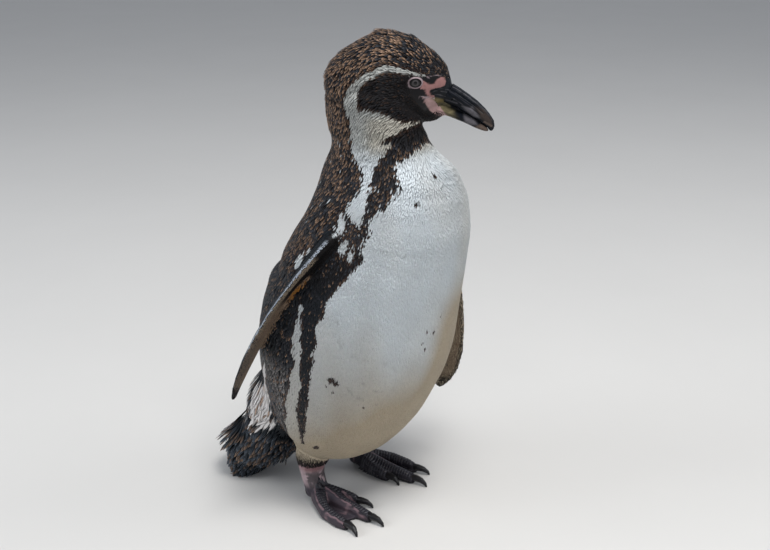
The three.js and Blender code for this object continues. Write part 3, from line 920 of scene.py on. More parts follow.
skin_mesh.materials.append(bill_material)
paint(skin_mesh, "horn", skin_horn)
at = to_head(values_of(skin_mesh.polygons, "center", 3).astype(float))
horny = (loop_distance(at[:, 1], at[:, 2], HORN_BASE) < 0) & (at[:, 2] > -60) & (at[:, 1] < -44)
skin_mesh.polygons.foreach_set("material_index", horny.astype(np.int32))
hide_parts(*FLESH)
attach(skin, "root")

# Eyes
# Each eye is a glass-clear cornea over a dark grey-brown iris, modelled as one polished ball
# of the real size, seated deep behind the lids.
SIGHT_LINE = Vector((1.0, -0.10, -0.06)).normalized()
EYE_BLACK = (0.002, 0.002, 0.002, 1)
EYE_EDGE = (0.004, 0.003, 0.003, 1)
# How far out from the line of sight each colour lies, in centimetres: pupil, iris, then edge.
IRIS = ((0.150, EYE_BLACK), (0.18, (0.040, 0.037, 0.038, 1)), (0.26, (0.055, 0.050, 0.050, 1)),
        (0.33, (0.018, 0.016, 0.016, 1)), (0.38, EYE_EDGE))
CENTIMETRES = 100.0
for name, sign in (("left", 1), ("right", -1)):
    ball_shape = bmesh.new()
    low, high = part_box("eye_" + name)
    radius = (high.z - low.z) / 2
    bmesh.ops.create_uvsphere(ball_shape, u_segments=48, v_segments=32, radius=radius)
    centre = middle("eye_" + name)
    line = Vector(HEAD_AXES.T @ np.array((SIGHT_LINE.x * sign, SIGHT_LINE.y, SIGHT_LINE.z)))
    turn = line.to_track_quat("Z", "Y").to_matrix().to_4x4()
    seated = Matrix.Translation(centre) @ turn
    bmesh.ops.transform(ball_shape, matrix=seated, verts=ball_shape.verts)
    ball_mesh = mesh_of("eye", ball_shape)
    smooth_faces(ball_mesh)
    eye_material, nodes, links, shader = principled("eye_" + name, roughness=0.10, specular=0.2)
    shader.inputs["Coat Weight"].default_value = 0.3
    shader.inputs["Coat Roughness"].default_value = 0.02
    place = nodes.new("ShaderNodeTexCoord").outputs["Object"]
    from_centre = vector_node(nodes, links, "SUBTRACT", place, centre)
    from_line = vector_node(nodes, links, "CROSS_PRODUCT", from_centre.outputs[0], line)
    away = vector_node(nodes, links, "LENGTH", from_line.outputs[0], None)
    away = math_node(nodes, links, "MULTIPLY", away.outputs["Value"], CENTIMETRES)
    rings = nodes.new("ShaderNodeValToRGB")
    links.new(away, rings.inputs["Fac"])
    stops = rings.color_ramp.elements
    stops[0].position = 0.0
    stops[0].color = EYE_BLACK
    stops[1].position = 0.9
    stops[1].color = EYE_EDGE
    for position, colour in IRIS:
        stops.new(position).color = colour
    mottled(nodes, links, shader, rings.outputs["Color"], scale=1400.0, amount=0.9, bump=0.0)
    eyeball = shown("eyeball_" + name, ball_mesh, eye_material)
    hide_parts("eye_" + name)
    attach(eyeball, "root")

# Bill
# Upper and lower halves are hollow horn sheaths, black over most of their length, with plates
# parted by shallow grooves, a hooked tip and an olive base to the lower half.
BILL_GRAIN = 0.0006
UPPER_ROUNDS = 14
LOWER_ROUNDS = 12
CULMEN_GROOVE = ((-58, 4.5), (-62, 2.5), (-70, -2.2), (-80, -9), (-90, -16.4), (-99, -24))
CHEEK_GROOVE = ((-59, -1.0), (-64, -4), (-71, -9.2), (-79, -15), (-87, -18.6), (-95, -25))
TOMIUM_GROOVE = ((-56, -8.5), (-64, -10.6), (-72, -13.2), (-80, -19), (-88, -24.4))
LOWER_GROOVE = ((-52, -21), (-66, -25.5), (-80, -31))
TIP_EDGE = ((-100, -33), (-107, -37))
NOSTRIL = (-67.6, -8.6)
# Each painted highlight streak's line, half-width and strength: pale streaks along the ridges.
HIGHLIGHT_STREAKS = ((((-64, 4.5), (-74, -1.0), (-84, -8.0), (-94, -16.0)), 0.15, 0.8),
                (((-62, 0.4), (-70, -4.6), (-79, -11.6), (-89, -18.5)), 0.1, 0.6),
                (((-66, -7.0), (-73, -11.2), (-79, -15.5)), 0.1, 0.7))
PALE_BAND = ((-77, -16), (-84, -17.6), (-87, -17), (-91, -22.5), (-95, -28.6), (-89, -27),
             (-82, -21.8))
BROWN_TIP = ((-90, -16.6), (-99, -21), (-107, -31), (-108, -38), (-96, -29))
LOWER_BAND = ((-79, -22), (-90, -28), (-93, -36), (-84, -36), (-80, -32))


def remade(node, voxel, rounds):
    """A solid's copy with fine even faces and its facets rounded off."""
    shape, _ = joined_copy((node,), 0.0)
    fine = through(mesh_of(node, shape), "REMESH", mode="VOXEL", voxel_size=voxel)
    smooth = rounded(fine, rounds)
    smooth[:, 2] = np.maximum(smooth[:, 2], 0)
    put_places(fine, smooth)
    smooth_faces(fine)
    return fine


def pressed(mesh, amount):
    """Moves each vertex along its normal by an amount in millimetres."""
    put_places(mesh, places(mesh) + normals(mesh) * (amount * MM)[:, None])


def groove(y, z, line, width, depth):
    """How far a groove along this line moves the surface, in millimetres."""
    away, _ = line_distance(y, z, line)
    return -depth * np.exp(-(away / width) ** 2)


upper_mesh = remade("bill_upper", BILL_GRAIN, UPPER_ROUNDS)
at = places(upper_mesh)
local = to_head(at)
y, z = local[:, 1], local[:, 2]
sides = step(np.abs(local[:, 0]), 0.8, 2.2)
relief = groove(y, z, CULMEN_GROOVE, 0.8, 0.55) + groove(y, z, CHEEK_GROOVE, 0.7, 0.45)
relief += groove(y, z, TOMIUM_GROOVE, 0.7, 0.35)
pit = np.hypot((y - NOSTRIL[0]) / 2.4, (z - NOSTRIL[1] + 0.4 * (y - NOSTRIL[0])) / 0.9)
relief -= 0.9 * step(pit, 1.2, 0.4)
relief += 0.16 * ripple(at, 4, 41) - 0.1
pressed(upper_mesh, relief * sides)
at = places(upper_mesh)
horn = np.tile(BILL_BLACK, (len(y), 1)) * (1 + 0.3 * ripple(at, 7, 42))[:, None]
horn = over(horn, BILL_BROWN, within(loop_distance(y, z, BROWN_TIP), 2.0) * 0.5)
horn = over(horn, BILL_PALE, within(loop_distance(y, z, PALE_BAND), 1.8) * 0.8)
away, _ = line_distance(y, z, TIP_EDGE)
horn = over(horn, BILL_BROWN * 2.2, within(away - 1.0, 1.0) * 0.7)
away, _ = line_distance(y, z, TOMIUM_GROOVE[:3])
horn = over(horn, BILL_PALE, within(away - 0.5, 0.8) * 0.4)
# The grooves and the nostril are painted darker, as shade in them.
for line in (CULMEN_GROOVE, CHEEK_GROOVE):
    away, _ = line_distance(y, z, line)
    horn = over(horn, BILL_BLACK * 0.4, within(away - 0.4, 0.5))
horn = over(horn, BILL_BLACK * 0.2, step(pit, 1.3, 0.7))
# Painted highlights lie in broken pale streaks along the ridges of the upper half.
for line, half, strength in HIGHLIGHT_STREAKS:
    away, along = line_distance(y, z, line)
    broken = step(ripple(at, 6, 47), -0.5, 0.4) * step(along, 0, 0.15) * step(along, 1, 0.8)
    horn = over(horn, BILL_PALE * 0.9, within(away - half, 0.35) * broken * strength)
paint(upper_mesh, "horn", horn)
bill_upper = shown("upper_bill", upper_mesh, bill_material)
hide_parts("bill_upper")
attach(bill_upper, "root")

lower_mesh = remade("bill_lower", BILL_GRAIN, LOWER_ROUNDS)
at = places(lower_mesh)
local = to_head(at)
y, z = local[:, 1], local[:, 2]
pressed(lower_mesh, groove(y, z, LOWER_GROOVE, 0.9, 0.4) + 0.12 * ripple(at, 4, 43) - 0.1)
at = places(lower_mesh)
horn = np.tile(BILL_BLACK, (len(y), 1))
horn = over(horn, BILL_OLIVE, step(y + 0.6 * ripple(at, 5, 45) * 4, -76, -62))
streaks = step(ripple(at * (1, 1, 3), 5, 44), 0.2, 0.8) * step(y, -74, -60)
horn = over(horn, BILL_OLIVE * 1.7, streaks * 0.7)
horn = over(horn, PINK_PALE, within(loop_distance(y, z, PINK_LOWER), 0.8))
horn = over(horn, BILL_PALE * 0.8, within(loop_distance(y, z, LOWER_BAND), 2.0) * 0.8)
horn = over(horn, BILL_BROWN * 1.3, step(z + 0.42 * y, -74, -77.5) * step(y, -84, -92))
paint(lower_mesh, "horn", horn)
bill_lower = shown("lower_bill", lower_mesh, bill_material)
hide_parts("bill_lower")
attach(bill_lower, "root")

# Foot scutes
# Plates of black horn cross the top of each toe from the ball of the foot to the claw. Each is
# a small bent plate that lies on the skin and laps a little over the next.
SCUTE_STEP = 3.4
SCUTE_LAP = 1.15
SCUTE_RISE = 0.7
SCUTE_THICKNESS = 0.25
SCUTE_HALF = 0.78
SCUTE_SINK = 0.12
FIRST_SCUTE = 9
ABOVE_FOOT = 0.04
TOE_HEIGHT = 4.0
SCUTE_BLACK = (0.025, 0.0235, 0.031, 1)
LOWEST_SCUTE = 1.0
skin_shape = bmesh.new()
skin_shape.from_mesh(skin_mesh)
skin_tree = BVHTree.FromBMesh(skin_shape)
skin_shape.free()
scute_shape = bmesh.new()
for side_name in ("left", "right"):
    for toe, (toe_length, half, _) in TOES.items():
        for reach in np.arange(FIRST_SCUTE, toe_length - 4, SCUTE_STEP):
            grid = bmesh.ops.create_grid(scute_shape, x_segments=6, y_segments=2, size=1)["verts"]
            for vertex in grid:
                u, v = vertex.co.x, vertex.co.y
                forward = 0.5 + 0.5 * v * (1 - 0.3 * u * u)
                at = reach + forward * SCUTE_STEP * SCUTE_LAP
                spot, ahead = toe_line(side_name, toe, (at, at + 1))
                aside = np.array((ahead[1] - spot[1], spot[0] - ahead[0])) * 1000
                x, y = spot + aside * u * half * SCUTE_HALF * MM
                place = skin_tree.ray_cast(Vector((x, y, ABOVE_FOOT)), Vector((0, 0, -1)))[0]
                level = max(place.z / MM, LOWEST_SCUTE) if place else TOE_HEIGHT
                vertex.co = Vector((x, y, (level + SCUTE_RISE * forward - SCUTE_SINK) * MM))
bmesh.ops.recalc_face_normals(scute_shape, faces=scute_shape.faces)
bmesh.ops.solidify(scute_shape, geom=scute_shape.faces[:], thickness=SCUTE_THICKNESS * MM)
scute_mesh = mesh_of("foot_scutes", scute_shape)
smooth_faces(scute_mesh)
scute_material, nodes, links, shader = principled("scute_horn", roughness=0.30, specular=0.5)
mottled(nodes, links, shader, SCUTE_BLACK, scale=500.0, amount=0.9, bump=0.4)
scutes = shown("foot_scutes", scute_mesh, scute_material)
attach(scutes, "root")

# Coat
# Short stiff feathers cover all but the face, tarsi and feet. Each is a thin closed vane set
# on the skin, lying back along the body over the ones behind it.

# Each flipper's shoulder, ahead of the legs' middle in millimetres, the directions of its tip
# and trailing edge, which way its upper face looks, and how far its blade is bent.
WING_SIDES = {WING_R: ((-78, -67, 345), (-52, 106, -190), (0.95, 0.31, -0.09), -1, 0),
              WING_L: ((87, -79, 324), (27, -25, -226), (0.1, 1.0, 0.0), 1, 25)}
WING_LENGTH = 230
WING_REACH = (0, 28, 69, 115, 161, 198, 221, 230)
WING_SET_BACK = (0, 1, 3, 5, 6, 8, 13, 17)
WING_HALF = (16, 20, 25, 27, 25, 18, 9, 4)


def unit(vector):
    vector = np.asarray(vector, float)
    return vector / np.linalg.norm(vector)


def wing_frame(region):
    """Shoulder, and the directions of the flipper's tip, trailing edge and upper face."""
    shoulder, tipward, chord, sign, _ = WING_SIDES[region]
    tipward = unit(tipward)
    chord = np.asarray(chord)
    chord = unit(chord - tipward * (chord @ tipward))
    return LEGS_GROUND + np.array(shoulder) * MM, tipward, chord, np.cross(tipward, chord) * sign


def wing_places(points, region):
    """Reach along a flipper in mm, and place across it: -1 its leading edge, 1 its trailing."""
    shoulder, tipward, chord, _ = wing_frame(region)
    reach = ((points - shoulder) @ tipward) / MM
    part = np.clip(reach / WING_LENGTH, 0, 1)
    curve = WING_SIDES[region][4] * (part ** 3 - part / 4)
    swept = ((points - shoulder) @ chord) / MM - np.interp(reach, WING_REACH, WING_SET_BACK) - curve
    return reach, swept / np.interp(reach, WING_REACH, WING_HALF)


# The tail's middle line: its height, and how far it lies aside of and behind the legs' middle.
TAIL_LINE = ((-6, -35, 100), (12, -33, 99), (36, -28, 97), (70, -16, 78), (110, -6, 56),
             (150, 0, 26))
TAIL_HALF = 50
# The head's feathers lie back from this place, given as the head's own are.
BILL_ROOT = (0, -66, 2)


def tail_middle(height):
    """The tail's middle line at these heights, in millimetres from the legs' middle."""
    levels, aside, behind = np.array(TAIL_LINE, float).T
    return np.stack((np.interp(height, levels, aside), np.interp(height, levels, behind),
                     height * 1.0), -1)


def from_tail_line(points):
    """Level distance out from the tail's middle line, as a share of its half-width."""
    out = (points - LEGS_GROUND) / MM - tail_middle(points[:, 2] / MM)
    return out * (1, 1, 0) / TAIL_HALF


def lie_of_coat(points, facing, share):
    """The direction in which each feather points, along the surface."""
    local = to_head(points)
    from_bill = local - np.array(BILL_ROOT)
    away = np.linalg.norm(from_bill, axis=1)
    back = (from_bill / away[:, None]) @ HEAD_AXES
    fall = step(away, 60, 112)[:, None]
    on_head = back * (1 - fall) + np.array((0, 0.3, -1)) * fall
    height = points[:, 2:3] / MM
    under = step(height, 120, 62)
    on_trunk = np.array((0, 0.14, -1)) * (1 - under) + np.array((0, 1, -0.3)) * under
    flow = share[:, HEAD:HEAD + 1] * on_head + share[:, TRUNK:TRUNK + 1] * on_trunk
    fanned = np.array((-0.22, 0.5, -0.85)) + 0.35 * from_tail_line(points)
    flow = flow + share[:, TAIL:TAIL + 1] * fanned
    flow = flow + (share[:, LEG:LEG + 1] + share[:, FOOT:FOOT + 1]) * np.array((0, 0, -1))
    for region in WING_SIDES:
        _, tipward, chord, _ = wing_frame(region)
        flow = flow + share[:, region:region + 1] * (tipward + 0.22 * chord)
    flow = flow - facing * (flow * facing).sum(1)[:, None]
    return flow / np.maximum(np.linalg.norm(flow, axis=1), 1e-6)[:, None]


triangles_mesh = through(skin_mesh, "TRIANGULATE")
triangle = values_of(triangles_mesh.polygons, "vertices", 3, np.int32)
corner = skin_places[triangle]
slab = np.cross(corner[:, 1] - corner[:, 0], corner[:, 2] - corner[:, 0])
area = np.linalg.norm(slab, axis=1) / 2

# More roots are sown than the coat needs, and each that is kept clears its own space of others.
SOW_SEED = 12
SOWN = 2.3
LEG_FRINGE = 51
EDGE_GAP = 0.3
draw = np.random.default_rng(SOW_SEED)
mid = corner.mean(1)
mid_share = weights[triangle].mean(1)
gap = coat_sizes(mid, mid_share)[0]
above_leg = (mid_share[:, LEG] < 0.5) | (mid[:, 2] > LEG_FRINGE * MM)
feathered = (mid_share[:, FOOT] < 0.02) & above_leg
wanted = draw.poisson(SOWN * area / (gap * MM) ** 2 * feathered)
chosen = np.repeat(np.arange(len(area)), wanted)
chosen = chosen[draw.permutation(len(chosen))]
mix = draw.random((len(chosen), 2))
mix = np.where(mix.sum(1)[:, None] > 1, 1 - mix, mix)
mix = np.stack((1 - mix.sum(1), mix[:, 0], mix[:, 1]), 1)
roots = (corner[chosen] * mix[:, :, None]).sum(1)
shares = (weights[triangle[chosen]] * mix[:, :, None]).sum(1)
free = bare_distance(to_head(roots)) > EDGE_GAP
roots, shares, chosen, mix = roots[free], shares[free], chosen[free], mix[free]
spacing = coat_sizes(roots, shares)[0] * MM
tree = KDTree(len(roots))
for index, root in enumerate(roots):
    tree.insert(root, index)
tree.balance()
open_place = bytearray(b"\x01") * len(roots)
kept = []
for index, root in enumerate(roots):
    if open_place[index]:
        kept.append(index)
        for _, other, _ in tree.find_range(root, spacing[index]):
            open_place[other] = 0
kept = np.array(kept)
roots, shares, chosen, mix = roots[kept], shares[kept], chosen[kept], mix[kept]
facing = (skin_facing[triangle[chosen]] * mix[:, :, None]).sum(1)
facing /= np.linalg.norm(facing, axis=1)[:, None]

# Each feather is drawn apart from its neighbours in length, lie and shade. Those of the tail
# have only so much room behind it, and are short underneath.
TAIL_ROOM = 0.003
SHOWN_PART = 0.75
total = len(roots)
_, length, width, lift = coat_sizes(roots, shares)
jitter = draw.uniform(-1, 1, total)
chance = draw.random((total, 4))
flow = lie_of_coat(roots, facing, shares)
across = np.cross(facing, flow)
sway = (draw.normal(size=total) * (0.05 + 0.07 * step(lift, 1.0, 2.0)))[:, None]
flow = flow + across * sway
flow /= np.linalg.norm(flow, axis=1)[:, None]
across = np.cross(facing, flow)
length = length * (0.85 + 0.3 * chance[:, 3])
room = (cad_box[1][1] + TAIL_ROOM - roots[:, 1]) / np.maximum(flow[:, 1], 0.05) / MM
length = np.where(shares[:, TAIL] > 0.2, np.minimum(length, np.maximum(room, 8)), length)
hidden_side = np.maximum(step(facing[:, 2], -0.25, -0.6), step(facing[:, 1], -0.55, -0.85))
length = length * (1 - 0.6 * shares[:, TAIL] * hidden_side)
shown_at = roots + flow * (length * SHOWN_PART * MM)[:, None]
fold = creases(shown_at)
base, tip, pale = plumage(shown_at, jitter, chance)
# Feathers in the folds of the coat are painted darker, as shade in the folds; some raised white
# feathers are a little darker at random.
fold_shade = fold * step(ripple(shown_at, 3.5, 71), -0.2, 0.5)
fold_shade_and_tone = (1 - 0.22 * fold_shade - 0.12 * pale * (1 - chance[:, 2]) * step(lift, 1.3, 2.0))[:, None]
base, tip = base * fold_shade_and_tone, tip * fold_shade_and_tone

# The right flipper's markings and a painted highlight run in lines round its leading edge, told
# here by the angle round the blade from that edge, below nought on the upper face. The left is
# plainer.
# The under faces' tan is painted shade: their pale skin as it looks in the shade of the body.
WING_TAN_IN_SHADE = np.array((0.310, 0.220, 0.155))
WING_KHAKI = np.array((0.300, 0.238, 0.172))
WING_ORANGE = np.array((0.42, 0.190, 0.050))
WING_GREY = np.array((0.215, 0.168, 0.130))
WING_EDGE_HIGHLIGHT = np.array((0.42, 0.47, 0.54))
for region in WING_SIDES:
    _, tipward, chord, upper = wing_frame(region)
    reach, place = wing_places(roots, region)
    upper_share = step(facing @ upper, -0.1, 0.1)
    rim = np.degrees(np.arccos(np.clip(-place, -1, 1)))
    noise = ripple(roots, 9, 61) + 0.5 * jitter
    under = np.tile(WING_TAN_IN_SHADE, (total, 1)) * (1 + 0.10 * noise)[:, None]
    above = np.tile(BLUE_BLACK, (total, 1))
    if region == WING_R:
        under = over(under, WING_KHAKI, step(rim + 3 * noise, 42, 34))
        bar = step(np.abs(rim - 50 + 2 * noise), 18, 14) * step(reach, 104, 80)
        under = over(under, BLACK, bar)
        strip = step(rim + 2 * noise, 66, 72) * step(reach, 26, 34) * step(reach, 96, 78)
        under = over(under, WING_ORANGE, strip * step(place, 0.72, 0.60))
        outer = step(reach + 8 * noise, 128, 156)
        under = over(under, WING_GREY, outer * step(rim + 6 * noise, 74, 62))
        under = over(under, WING_KHAKI, outer * step(np.abs(rim - 84), 9, 5) * 0.6)
        # A pale blue line along the upper face by the leading edge is a painted highlight.
        line = step(rim, 9, 13) * step(rim, 30, 23) * step(reach, 2, 12)
        above = over(above, WING_EDGE_HIGHLIGHT, line * step(reach + 6 * noise, 168, 140))
    else:
        # The left flipper's under face is painted darker still, as shade behind the body.
        under = under * 0.68
        under = over(under, BLACK, step(reach, 140, 152) * step(place + 0.12 * noise, -0.05, 0.18))
        under = over(under, BLACK * 1.6, step(rim, 40, 28))
    under = over(under, BLACK, step(reach, 34, 24))
    under = over(under, BLACK * 1.5, step(noise, 1.25, 1.4) * step(reach, 40, 60))
    under = over(under, BLACK, step(rim, 12, 6))
    under = over(under, BLACK, step(reach + 3 * noise, 206, 216))
    trailing = step(place + 0.04 * noise, 0.86, 0.94) * step(reach, 20, 40) * step(reach, 214, 200)
    above = over(above, WHITE * 0.7, trailing)
    wing = over(under, above, upper_share)
    on_wing = (shares[:, region] > 0.5) * 1.0
    base = over(base, wing, on_wing)
    glint = (0.85 + 0.3 * chance[:, 2] + 0.6 * chance[:, 1] * upper_share)[:, None]
    tip = over(tip, wing * glint, on_wing)

# The rump and tail are shaggy, brown-edged and streaked, and a dark fringe ends the coat on the
# legs.
angle, _, height = round_body(shown_at)
shaggy = shares[:, TAIL] + step(np.abs(angle), 104, 116) * step(height, 175, 150) * shares[:, TRUNK]
shaggy = np.clip(shaggy, 0, 1)
browned = shaggy * (chance[:, 0] < 0.42 - 0.22 * step(height, 60, 20))
tip = over(tip, TAN * 0.85, browned * (0.4 + 0.6 * chance[:, 2]) * (1 - 0.9 * pale))
tip = over(tip, GLINT_BLUE * 1.2, shaggy * (1 - browned) * (1 - pale))
streaked = shaggy * pale * (chance[:, 1] < 0.16)
lift = lift * (1 - 0.45 * shaggy * pale)
base = over(base, TAN * 0.9, streaked * 0.8)
tip = over(tip, BROWN, streaked * 0.9)
fringe = step(height, 58, 52) * shares[:, TRUNK] * (np.abs(angle) < 104)
fringe = shares[:, LEG] * step(height, 66, 54) + fringe
fringe = np.clip(fringe, 0, 1) * step(height + 5 * jitter, 68, 54)
base = over(base, BLACK * 1.5, fringe)
tip = over(tip, BLACK * 2.5, fringe)

BARB_COUNT = 60.0
BARB_SLANT = -0.35
SHAFT_HALF = 0.08


def barbs_group():
    """Fine slanting barbs either side of a feather's shaft."""
    group, nodes, links, given, out = pattern_group(
        "barbs", (("Vane", "Vector"), ("Colour", "Color"), ("Count", "Float")))
    apart = nodes.new("ShaderNodeSeparateXYZ")
    links.new(given.outputs["Vane"], apart.inputs[0])

    def worked(kind, *inputs):
        return math_node(nodes, links, kind, *inputs)

    from_shaft = worked("ABSOLUTE", apart.outputs["X"])
    slant = worked("MULTIPLY_ADD", from_shaft, BARB_SLANT, apart.outputs["Y"])
    wave = worked("SINE", worked("MULTIPLY", slant, given.outputs["Count"]))
    shaft = worked("LESS_THAN", from_shaft, SHAFT_HALF)
    height = worked("MULTIPLY_ADD", wave, 0.5, 0.5)
    shade = worked("MULTIPLY_ADD", height, 0.22, 0.87)
    shade = worked("MULTIPLY_ADD", shaft, 0.12, shade)
    links.new(shaded(nodes, links, given.outputs["Colour"], shade), out.inputs["Colour"])
    links.new(height, out.inputs["Height"])
    return group


coat_material, nodes, links, shader = principled("plumage", roughness=0.42, specular=0.11)
barbs = nodes.new("ShaderNodeGroup")
barbs.node_tree = barbs_group()
barbs.inputs["Count"].default_value = BARB_COUNT
links.new(stored(nodes, "vane").outputs["Vector"], barbs.inputs["Vane"])
links.new(stored(nodes, "plume").outputs["Color"], barbs.inputs["Colour"])
links.new(barbs.outputs["Colour"], shader.inputs["Base Color"])
pitted(nodes, links, shader, barbs.outputs["Height"], strength=0.25, distance=0.0002)

# A vane's corners: how far along it, how far across, how high, and how much of its tip colour.
# With them go its faces, and how many of these are on its upper side.
LONG_VANE = np.array(((0, 0, 0, 0), (0.45, -1, 0, 0), (0.45, 0, 1, 0), (0.45, 1, 0, 0),
                      (0.82, -0.8, 0, 0.8), (0.82, 0, 1, 0.1), (0.82, 0.8, 0, 0.8),
                      (1, 0, 0.2, 1)), float)
LONG_FACES = np.array(((0, 1, 2), (0, 2, 3), (1, 4, 5), (1, 5, 2), (2, 5, 6), (2, 6, 3),
                       (4, 7, 5), (5, 7, 6), (0, 3, 1), (1, 3, 6), (1, 6, 4), (4, 6, 7)))
LONG = (LONG_VANE, LONG_FACES, 8)
SHORT_VANE = np.array(((0, 0, 0, 0), (0.7, -1, 0, 0.5), (0.7, 0, 1, 0.2), (0.7, 1, 0, 0.5),
                       (1, 0, 0.2, 1)), float)
SHORT_FACES = np.array(((0, 1, 2), (0, 2, 3), (1, 4, 2), (2, 4, 3), (0, 3, 1), (1, 3, 4)))
SHORT = (SHORT_VANE, SHORT_FACES, 4)
VANE_RIDGE = 0.05
ROOT_DEPTH = 0.12
PATCH = 0.003
FLOOR_GAP = 0.6


def vanes(name, which, layout, kind):
    """One coat piece: a joined mesh of vanes, with a small patch of the map for each."""
    corners, faces, top_faces = kind
    along, sideways, up, tipped = corners.T
    number = len(which)
    half = width[which] / 2
    raised = (lift[which] * (1 - 0.2 * fold[which]))[:, None]
    rise = raised * (1.25 * along - 0.25 * along ** 2)
    rise = rise + up * VANE_RIDGE * width[which][:, None] - ROOT_DEPTH
    spot = (roots[which][:, None]
            + flow[which][:, None] * (length[which][:, None] * along)[:, :, None] * MM
            + across[which][:, None] * (half[:, None] * sideways)[:, :, None] * MM
            + facing[which][:, None] * rise[:, :, None] * MM)
    spot[:, :, 2] = np.maximum(spot[:, :, 2], (FLOOR_GAP + 0.4 * up) * MM)
    index = (np.arange(number) * len(corners))[:, None, None] + faces
    mesh = bpy.data.meshes.new(name)
    mesh.from_pydata(spot.reshape(-1, 3), [], index.reshape(-1, 3))
    rooted = base[which][:, None] * (1 - tipped)[None, :, None]
    colour = rooted + tip[which][:, None] * tipped[None, :, None]
    paint(mesh, "plume", colour.reshape(-1, 3))
    layer = mesh.attributes.new("vane", "FLOAT_VECTOR", "POINT")
    vane = np.stack((sideways, along, 0 * along), 1).astype(np.float32)
    layer.data.foreach_set("vector", np.tile(vane.ravel(), number))
    skin_map = mesh.uv_layers.new(name="OFBake")
    patch = np.stack((sideways * 0.5, along - 0.5), 1)[faces]
    patch[top_faces:, :, 0] = patch[top_faces:, :, 0] * 0.1 + 0.55
    patch[:top_faces, :, 0] = patch[:top_faces, :, 0] * 0.9 - 0.05
    place = layout(which)[:, None, None, :] + patch[None] * PATCH
    skin_map.data.foreach_set("uv", place.astype(np.float32).ravel())
    smooth = np.tile(np.arange(len(faces)) < top_faces, number)
    mesh.polygons.foreach_set("use_smooth", smooth)
    obj = shown(name, mesh, coat_material)
    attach(obj, "root")


def eased(*columns):
    """A place on the map for each feather, with both columns brought to 0.01 to 0.99."""
    return np.stack([0.01 + 0.98 * (values - values.min()) / (values.max() - values.min())
                     for values in columns], 1)


def round_map(which):
    """The trunk's skin unrolled: angle across, and distance down the body."""
    angle, radius, height = round_body(roots[which])
    turned = np.degrees(np.arctan2(200 - height, radius)) * 1.9
    return eased(angle, np.where(height > 200, 200 - height, turned))


def dome_map(which):
    """Half of the head's skin laid out flat about its side."""
    direction = to_head(roots[which])
    direction = direction / np.linalg.norm(direction, axis=1)[:, None]
    keep = np.sqrt(2 / (1 + np.abs(direction[:, 0])))
    return eased(direction[:, 1] * keep, direction[:, 2] * keep)


def wing_map(which):
    """A flipper's skin, its upper face beside its under face."""
    shoulder, tipward, chord, upper = wing_frame(owner[which[0]])
    swept = ((roots[which] - shoulder) @ chord) / MM
    swept = np.where((facing[which] @ upper) > 0, swept, swept + 90)
    return eased(swept, (roots[which] - shoulder) @ tipward)


# Tail quills
# Stiff pointed feathers in four rows round the back of the tail, overlapping as slates do, with
# their points standing a little clear.

# Each row's height at its tips, length, how far it stands clear, and number of quills.
QUILL_ROWS = ((54, 44, 4, 9), (38, 48, 5, 10), (22, 50, 5, 10), (8, 46, 4, 9))
QUILL_SWING = 90
QUILL_WIDTH = 7.5
QUILL_LIFT = 1.4
LOWEST_TIP = 3
OUTSIDE_TAIL = 140
QUILL_BLUE = np.array((0.062, 0.074, 0.090))
QUILL_VANE = np.array(((0, -0.6, 0, 0), (0, 0, 1, 0), (0, 0.6, 0, 0),
                       (0.4, -1, 0, 0), (0.4, 0, 1.2, 0.3), (0.4, 1, 0, 0),
                       (0.72, -0.9, 0, 0.2), (0.72, 0, 1, 0.6), (0.72, 0.9, 0, 0.2),
                       (0.9, -0.5, 0, 0.8), (0.9, 0, 0.6, 1), (0.9, 0.5, 0, 0.8),
                       (1, 0, 0.2, 1)), float)
QUILL_TOP = [face for row in (0, 3, 6) for face in
             ((row, row + 3, row + 4), (row, row + 4, row + 1),
              (row + 1, row + 4, row + 5), (row + 1, row + 5, row + 2))]
QUILL_TOP += [(9, 12, 10), (10, 12, 11)]
QUILL_UNDER = [face for row in (0, 3, 6) for face in
               ((row, row + 2, row + 5), (row, row + 5, row + 3))]
QUILL_UNDER += [(9, 11, 12), (0, 1, 2)]
QUILLS = (QUILL_VANE, np.array(QUILL_TOP + QUILL_UNDER), len(QUILL_TOP))


def on_tail(height, turn):
    """The skin's place and facing at this height, this far round from the tail's back."""
    out = np.array((-math.sin(math.radians(turn)), math.cos(math.radians(turn)), 0.0))
    start = LEGS_GROUND + (tail_middle(height) + out * OUTSIDE_TAIL) * MM
    place, normal, _, _ = skin_tree.ray_cast(Vector(start), Vector(-out))
    return np.array(place), np.array(normal)


quill_roots, quill_flow, quill_facing, quill_length = [], [], [], []
for tip_height, reach, splay, number in QUILL_ROWS:
    for index in range(number):
        turn = QUILL_SWING * (2 * (index + draw.uniform(-0.25, 0.25)) / (number - 1) - 1)
        root, normal = on_tail(tip_height + reach * draw.uniform(0.8, 0.9), turn * 0.8)
        point, outward = on_tail(max(tip_height + draw.uniform(-3, 3), LOWEST_TIP), turn)
        run = point + outward * splay * MM - root
        quill_roots.append(root)
        quill_length.append(np.linalg.norm(run) / MM)
        quill_flow.append(unit(run))
        quill_facing.append(unit(normal - unit(run) * (normal @ unit(run))))
number = len(quill_roots)
roots = np.concatenate((roots, quill_roots))
flow = np.concatenate((flow, quill_flow))
facing = np.concatenate((facing, quill_facing))
across = np.cross(facing, flow)
length = np.concatenate((length, quill_length))
width = np.concatenate((width, draw.uniform(0.85, 1.1, number) * QUILL_WIDTH))
lift = np.concatenate((lift, np.full(number, QUILL_LIFT)))
fold = np.concatenate((fold, np.zeros(number)))
chance = np.concatenate((chance, draw.random((number, 4))))
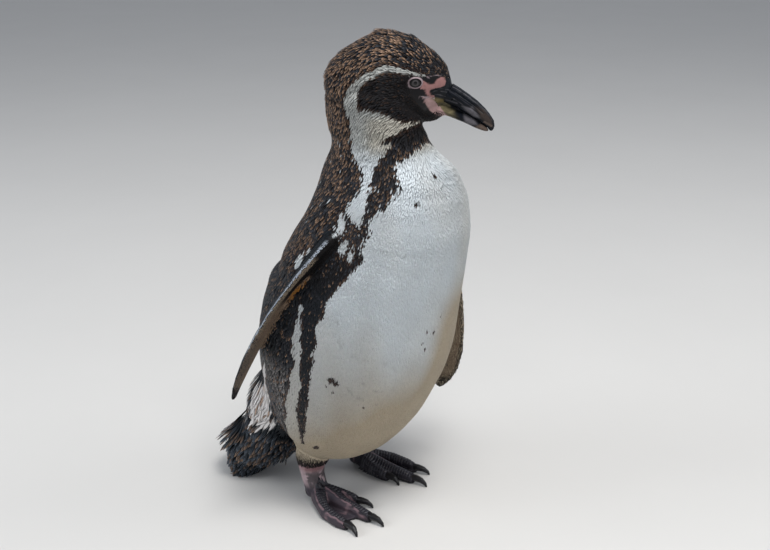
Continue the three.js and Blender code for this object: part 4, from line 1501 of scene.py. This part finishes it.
base = np.concatenate((base, QUILL_BLUE * draw.uniform(0.6, 1.3, (number, 1))))
tip = np.concatenate((tip, np.tile(BLACK, (number, 1))))
owner = np.concatenate((shares.argmax(1), np.full(number, QUILL)))

# The coat is made as eleven pieces, each with the feathers of one part or of one side of it.
COLLAR_HEIGHT = 352
BREAST_TURN = 86
angle, _, height = round_body(roots)
on_head = owner == HEAD
head_side = to_head(roots)[:, 0] > 0
body = (owner == TRUNK) | (owner == LEG)
collar = body & (height > COLLAR_HEIGHT)
front = body & ~collar & (np.abs(angle) < BREAST_TURN)
rear = body & ~collar & ~front
COAT_PIECES = (
    ("head_plumage_left", on_head & head_side, dome_map, LONG),
    ("head_plumage_right", on_head & ~head_side, dome_map, LONG),
    ("neck_plumage", collar, round_map, LONG),
    ("breast_plumage_right", front & (angle > 0), round_map, SHORT),
    ("breast_plumage_left", front & (angle <= 0), round_map, SHORT),
    ("back_plumage_right", rear & (angle > 0), round_map, LONG),
    ("back_plumage_left", rear & (angle <= 0), round_map, LONG),
    ("rump_plumage", owner == TAIL, round_map, LONG),
    ("tail_quills", owner == QUILL, round_map, QUILLS),
    ("flipper_plumage_right", owner == WING_R, wing_map, SHORT),
    ("flipper_plumage_left", owner == WING_L, wing_map, SHORT),
)
for name, mask, layout, kind in COAT_PIECES:
    vanes(name, np.flatnonzero(mask), layout, kind)

# Claws
# Curved claws of black horn, one seated on the end of each toe and reaching sixteen millimetres
# past it.
CLAW_GRAIN = 0.0005
CLAW_ROUNDS = 4
CLAW_BLACK = (0.011, 0.0105, 0.012, 1)
claw_material, nodes, links, shader = principled("claw_horn", roughness=0.32, specular=0.3)
mottled(nodes, links, shader, CLAW_BLACK, scale=700.0, amount=0.8, bump=0.3)
for side_name in ("left", "right"):
    for toe in TOES:
        node = f"claw_{side_name}_{toe}"
        claw_mesh = remade(node, CLAW_GRAIN, CLAW_ROUNDS)
        claw = shown(f"horn_{side_name}_{toe}", claw_mesh, claw_material)
        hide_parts(node)
        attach(claw, "root")
